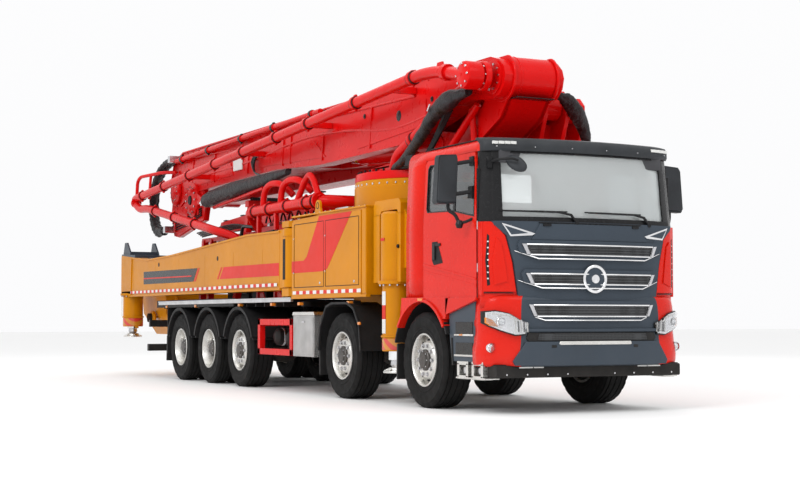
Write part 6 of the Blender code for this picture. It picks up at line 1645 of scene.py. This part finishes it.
# oil cooler with its fan
plant.box((-8.75, -7.75), (-0.40, -0.20), (1.32, 2.35), 1)
plant.box((-8.68, -7.82), (-0.415, -0.40), (1.40, 2.28), 5)
plant.turn([(0.34, -0.44), (0.38, -0.44), (0.40, -0.42), (0.40, -0.39), (0.34, -0.39)], (-8.25, 0, 1.84), "Y",
           48, 3)
for k in range(8):
    a = math.pi * k / 4
    c, s_ = math.cos(a), math.sin(a)
    plant.add([(-8.25 + 0.06 * c, -0.43, 1.84 + 0.06 * s_), (-8.25 + 0.33 * c - 0.07 * s_, -0.435,
        1.84 + 0.33 * s_ + 0.07 * c),
               (-8.25 + 0.33 * c + 0.05 * s_, -0.425, 1.84 + 0.33 * s_ - 0.05 * c)], [(0, 1, 2)], 3)
plant.rod((-8.25, -0.40, 1.84), (-8.25, -0.45, 1.84), 0.07, 24, 4)
# boom rest: two legs, cross beam and rubber cradle
for s in (-1, 1):
    plant.plate([(s * 0.62, 1.30), (s * 0.72, 1.30), (s * 0.46, 2.86), (s * 0.36, 2.86)], (-7.66, -7.54),
                "YZ", 0)
    plant.plate([(s * 0.58, 1.30), (s * 0.76, 1.30), (s * 0.76, 1.32), (s * 0.58, 1.32)], (-7.74, -7.46),
                "YZ", 0)
plant.box((-7.68, -7.52), (-0.50, 0.50), (2.80, 2.90), 0)
plant.box((-7.66, -7.54), (-0.42, 0.20), (2.90, 2.955), 3)
plant.box((-7.65, -7.55), (-0.56, 0.56), (2.05, 2.15), 0)
# rest girder under the folded sections: two rails, cross webs and saddles
for y0 in (-0.42, 0.42):
    plant.plate([(-9.1, 2.30), (-9.1, 2.40), (-8.9, 2.62), (-4.9, 2.82), (-4.6, 2.60), (-4.6, 2.46),
                 (-8.8, 2.44)], (y0 - 0.05, y0 + 0.05), mark=0)
for x in (-8.7, -7.9, -7.1, -6.3, -5.5, -4.8):
    top = 2.62 + (x + 8.9) * 0.05
    plant.box((x - 0.03, x + 0.03), (-0.42, 0.42), (2.48, top - 0.03), 0)
    plant.box((x - 0.06, x + 0.06), (-0.48, -0.36), (top, top + 0.02), 3)
# pump, water pump and valve block in front
plant.rod((-4.45, -0.05, 1.62), (-3.60, -0.05, 1.62), 0.17, 28, 1)
for x in (-4.40, -4.10, -3.80):
    plant.rod((x, -0.05, 1.62), (x + 0.05, -0.05, 1.62), 0.20, 28, 1)
plant.box((-6.55, -5.95), (-0.80, -0.50), (1.30, 1.62), 1).box((-6.50, -6.00), (-0.78, -0.52), (1.62, 1.90),
    4)
for k in range(6):
    x = -6.46 + 0.08 * k
    plant.tube(smooth_path([(x, -0.66, 1.90), (x, -0.68, 2.12), (x + 0.10, -0.60, 2.28),
                            (x + 0.4, -0.50, 2.46)], 0.08), 0.014, 8, 6)
    plant.rod((x, -0.72, 1.90), (x, -0.76, 2.04), 0.008, 8, 3)
# brackets and lines that run back past the water tank
for x in (-9.6, -9.2):
    plant.plate([(x, 1.30), (x + 0.10, 1.30), (x + 0.24, 2.34), (x + 0.14, 2.34)], (-0.62, -0.52), mark=0)
plant.box((-9.5, -5.6), (-0.60, -0.54), (2.30, 2.37), 0)
for k in range(4):
    plant.tube(smooth_path([(-9.4, -0.63 - 0.03 * k, 2.40 + 0.02 * k),
                            (-7.6, -0.64 - 0.03 * k, 2.46 + 0.02 * k), (-6.7, -0.62 - 0.03 * k, 2.42),
                            (-6.3, -0.58, 2.2)], 0.3), 0.014, 8, 6)
plant.tube(smooth_path([(-6.75, -0.70, 2.42), (-7.2, -0.72, 2.46), (-7.26, -0.72, 2.30), (-7.3, -0.72, 2.12)],
                       0.08), 0.028, 12, 3)
# hand rail on the left
for x in (-9.3, -8.1, -6.9, -5.7, -4.5):
    plant.tube([(x, 0.72, 1.30), (x, 0.72, 2.36)], 0.016, 10, 8)
for z in (1.85, 2.36):
    plant.tube([(-9.3, 0.72, z), (-4.5, 0.72, z)], 0.016, 10, 8)
plant.make("chassis", "boom_red", bevel=0.006)

tail = Piece("hopper_look", yellow, iron, steel, black_plastic, band_red, white_paint, black_paint, red,
             amber, gloss_black)
wall = 0.035
rows = [((-12.05, -11.10), 0.60, 0.72), ((-12.28, -10.90), 0.78, 1.10), ((-12.30, -10.88), 0.80, 1.42)]
for s0, s1 in ((1.0, 0), (0.94, 0.03)):
    start = len(tail.points)
    for (x0, x1), half, z in rows:
        mx, hx = (x0 + x1) / 2, (x1 - x0) / 2 * s0
        tail.points += [(mx - hx, -half * s0, z + s1), (mx + hx, -half * s0, z + s1),
                        (mx + hx, half * s0, z + s1), (mx - hx, half * s0, z + s1)]
    for i in range(2):
        for k in range(4):
            a, b = start + i * 4, start + (i + 1) * 4
            tail.faces.append((a + k, a + (k + 1) % 4, b + (k + 1) % 4, b + k))
    tail.faces.append(tuple(start + k for k in range(4)))
    tail.marks += [0 if s0 == 1.0 else 2] * 9
for a, b in (((-12.30, -12.22), (-0.80, 0.80)), ((-10.96, -10.88), (-0.80, 0.80)),
             ((-12.30, -10.88), (-0.80, -0.73)), ((-12.30, -10.88), (0.73, 0.80))):
    tail.box(a, b, (1.40, 1.45), 0)
for k in range(17):
    y = -0.68 + 0.085 * k
    tail.box((-12.23, -10.95), (y - 0.006, y + 0.006), (1.38, 1.42), 2)
for x in (-12.0, -11.6, -11.2):
    tail.box((x - 0.01, x + 0.01), (-0.74, 0.74), (1.37, 1.40), 2)
tail.rod((-11.55, -0.86, 1.02), (-11.55, 0.86, 1.02), 0.035, 20, 2)
for s in (-1, 1):
    tail.turn([(0.0, -0.03), (0.12, -0.03), (0.13, 0.0), (0.12, 0.03), (0.0, 0.03)], (-11.55, s * 0.83, 1.02),
              "Y", 32, 0)
    tail.rod((-11.55, s * 0.84, 1.02), (-11.55, s * 0.92, 1.02), 0.08, 24, 6)
    tail.box((-12.34, -12.30), (s * 0.55, s * 0.75), (1.10, 1.22), 5)
    tail.plate([(-10.88, 1.42), (-10.70, 1.25), (-10.70, 0.80), (-11.05, 0.72), (-10.88, 1.0)],
               (s * 0.60, s * 0.64))
    tail.rod((-10.70, s * 0.19, 0.93), (-8.95, s * 0.19, 0.965), 0.098, 28, 1)
    for x in (-10.5, -9.9, -9.3):
        tail.rod((x, s * 0.19, 0.94), (x + 0.05, s * 0.19, 0.941), 0.118, 28, 6)
    tail.box((-10.64, -10.58), (s * 0.70, s * 1.18), (0.86, 0.98), 9)
    for k, mark in enumerate((4, 8, 5)):
        tail.box((-10.652, -10.64), (s * (0.74 + 0.14 * k), s * (0.86 + 0.14 * k)), (0.875, 0.965), mark)
    tail.plate([(-10.62, 0.88), (-10.62, 0.52), (-10.50, 0.50), (-10.40, 0.88)], (s * 0.44, s * 0.48), mark=6)
tail.box((-10.66, -10.56), (-1.20, 1.20), (0.44, 0.56), 6)
for k in range(12):
    tail.box((-10.665, -10.66), (-1.18 + 0.2 * k, -1.0 + 0.2 * k), (0.46, 0.54), 4 if k % 2 else 5)
tail.box((-10.66, -10.64), (-0.26, 0.26), (0.62, 0.74), 5)
tail.box((-10.95, -10.45), (-0.36, 0.36), (0.80, 1.02), 6)
tail.rod((-11.0, 0.0, 0.90), (-10.6, 0.0, 0.90), 0.14, 28, 1)
tail.tube(smooth_path([(-10.9, -0.05, 1.12), (-10.5, -0.1, 1.20), (-9.9, -0.20, 1.22), (-9.3, -0.60, 1.225)],
                      0.15), 0.05, 16, 7)
tail.make("chassis", "yellow", bevel=0.006, replaces="hopper")

under = Piece("chassis_fittings", black_paint, iron, steel, black_plastic, hose_wrap, rim_silver, red)
for i, x in enumerate(AXLES):
    for s in (-1, 1):
        if i < 3:
            for k in range(5):
                arcx = 0.72 - 0.06 * k
                z = 0.66 + 0.022 * k
                leaf = [(x - arcx, z + 0.05), (x - arcx / 2, z - 0.02), (x, z - 0.045),
                        (x + arcx / 2, z - 0.02), (x + arcx, z + 0.05)]
                under.plate(leaf + [(px, pz + 0.018) for px, pz in reversed(leaf)], (s * 0.435, s * 0.515),
                            mark=1)
            under.box((x - 0.10, x + 0.10), (s * 0.43, s * 0.52), (0.60, 0.635), 1)
            for dx in (-0.07, 0.07):
                under.rod((x + dx, s * 0.475, 0.56), (x + dx, s * 0.475, 0.80), 0.013, 10, 2)
            for dx in (-0.74, 0.74):
                under.plate([(x + dx - 0.09, 0.98), (x + dx + 0.09, 0.98), (x + dx + 0.04, 0.70),
                             (x + dx - 0.04, 0.70)], (s * 0.432, s * 0.49), mark=0)
        under.rod((x + 0.22, s * 0.56, 0.60), (x + 0.26, s * 0.50, 1.02), 0.032, 16, 3)
        under.turn([(0.0, 0.0), (0.09, 0.005), (0.095, 0.02), (0.095, 0.12), (0.08, 0.14), (0.0, 0.15)],
                   (x - 0.20, s * 0.42 - 0.07, 0.60), "Y", 24, 3)
for x in (1.0, -1.1, -3.2, -4.7, -6.6, -8.0, -9.4):
    for s in (-1, 1):
        under.row((x - 0.1, s * 0.430, 0.84), (x + 0.1, s * 0.430, 0.84), 3, 0.012, (0, s * 0.012, 0), 2)
        under.row((x - 0.1, s * 0.430, 0.98), (x + 0.1, s * 0.430, 0.98), 3, 0.012, (0, s * 0.012, 0), 2)
for s in (-1, 1):
    for k in range(3):
        under.tube(smooth_path([(0.9, s * (0.445 + 0.022 * k), 1.03), (-4.0, s * (0.445 + 0.022 * k), 1.03),
                                (-10.2, s * (0.445 + 0.022 * k), 1.02)], 0.3), 0.010, 8, 3)
for x0, x1 in ((-3.0, -5.6), (-6.3, -7.1), (-7.6, -8.5)):
    under.rod((x0, 0, 0.70), (x1, 0, 0.62), 0.05, 20, 1)
    for x in (x0, x1):
        under.rod((x - 0.05, 0, 0.66), (x + 0.05, 0, 0.66), 0.085, 20, 1)
# exhaust box and battery tray behind the front wheels
under.box((-1.50, -0.72), (-0.80, -0.46), (0.50, 0.88), 0)
under.rod((-0.70, 0.62, 0.62), (-1.50, 0.62, 0.62), 0.17, 28, 5)
under.tube(smooth_path([(-1.48, 0.62, 0.62), (-1.56, 0.66, 0.60), (-1.53, 0.94, 0.50)], 0.05), 0.05, 16, 5)
under.tube(smooth_path([(-0.68, -1.16, 1.18), (-0.67, -1.18, 1.05), (-0.68, -1.17, 0.90)], 0.05), 0.012, 8, 6)
under.make("chassis", "frame", bevel=0.003)


# ---------------------------------------------------------------- CAD nodes that stay in view
LOOKS = {"tyre": tyre, "iron": iron, "frame": black_paint, "fender": black_plastic, "locker": aluminium,
         "yellow": yellow,
         "boom_red": red, "cab_red": cab_red, "glass": screen_glass, "trim": cab_trim, "grille": slate,
         "steel": steel,
         "hose": hose_wrap}
for part in frame["record"]["subparts"]:
    mesh = frame["nodes"][part["node"]].data
    mesh.materials.clear()
    mesh.materials.append(seat_cloth if part["node"].endswith("_seat") else LOOKS[part["material_slot"]])


# ---------------------------------------------------------------- stage
def plain(name, rgb, roughness):
    nodes = Nodes(name)
    nodes.colour(nodes.ramp(nodes.noise(0.4, 3.0), (0.3, tint(rgb, 0.995)), (0.7, rgb)))
    nodes.rough(nodes.ramp(nodes.noise(3.0), (0.3, roughness), (0.7, roughness + 0.05)))
    return nodes.bump(nodes.noise(60.0), 0.0002).material


ground = Piece("studio_floor", plain("studio_white", (0.90, 0.90, 0.90), 0.7))
ground.points = [(x, y, 0.0) for x, y in ((-90, -90), (90, -90), (90, 90), (-90, 90))]
ground.faces, ground.marks = [(0, 1, 2, 3)], [0]
mesh = bpy.data.meshes.new("studio_floor")
mesh.from_pydata(ground.points, [], ground.faces)
mesh.materials.append(ground.materials[0])
studio_floor = bpy.data.objects.new("studio_floor", mesh)
bpy.context.scene.collection.objects.link(studio_floor)

world = bpy.data.worlds.new("studio")
world.use_nodes = True
bpy.context.scene.world = world
tree = world.node_tree
back = tree.nodes["Background"]
place = tree.nodes.new("ShaderNodeTexCoord")
split = tree.nodes.new("ShaderNodeSeparateXYZ")
ramp = tree.nodes.new("ShaderNodeValToRGB")
ramp.color_ramp.elements[0].position, ramp.color_ramp.elements[0].color = 0.0, (0.97, 0.97, 0.98, 1)
ramp.color_ramp.elements[1].position, ramp.color_ramp.elements[1].color = 0.6, (1.0, 1.0, 1.0, 1)
tree.links.new(place.outputs["Generated"], split.inputs[0])
tree.links.new(split.outputs["Z"], ramp.inputs["Fac"])
tree.links.new(ramp.outputs["Color"], back.inputs["Color"])
back.inputs["Strength"].default_value = 1.0


def lamp(name, place, target, size, energy, colour=(1, 1, 1)):
    light = bpy.data.lights.new(name, "AREA")
    light.shape, light.size, light.size_y = "RECTANGLE", size[0], size[1]
    light.energy, light.color = energy, colour
    obj = bpy.data.objects.new(name, light)
    obj.location = place
    obj.rotation_euler = (Vector(target) - Vector(place)).to_track_quat("-Z", "Y").to_euler()
    bpy.context.scene.collection.objects.link(obj)
    return obj


lamp("key", (10.0, -14.0, 13.0), (0.5, 0, 1.6), (11, 7), 1300)
lamp("front_fill", (17.0, 3.0, 13.0), (5.0, 0, 1.6), (8, 6), 300)
lamp("back_fill", (-14.0, 10.0, 10.0), (0, 0, 2.0), (10, 7), 300)
lamp("overhead", (0.0, -1.0, 14.0), (0, 0, 0), (18, 6), 350)

camera = bpy.data.cameras.new("camera")
camera.lens, camera.sensor_width, camera.sensor_fit = 67.85, 36.0, "HORIZONTAL"
camera.clip_end = 300
eye = bpy.data.objects.new("camera", camera)
yaw, pitch = math.radians(153.59), math.radians(2.97)
ahead = Vector((math.cos(pitch) * math.cos(yaw), math.cos(pitch) * math.sin(yaw), math.sin(pitch)))
eye.location = (15.162 + FRONT, -9.054, 1.011)
eye.rotation_euler = ahead.to_track_quat("-Z", "Y").to_euler()
bpy.context.scene.collection.objects.link(eye)
bpy.context.scene.camera = eye
bpy.context.scene.view_settings.view_transform = "Standard"
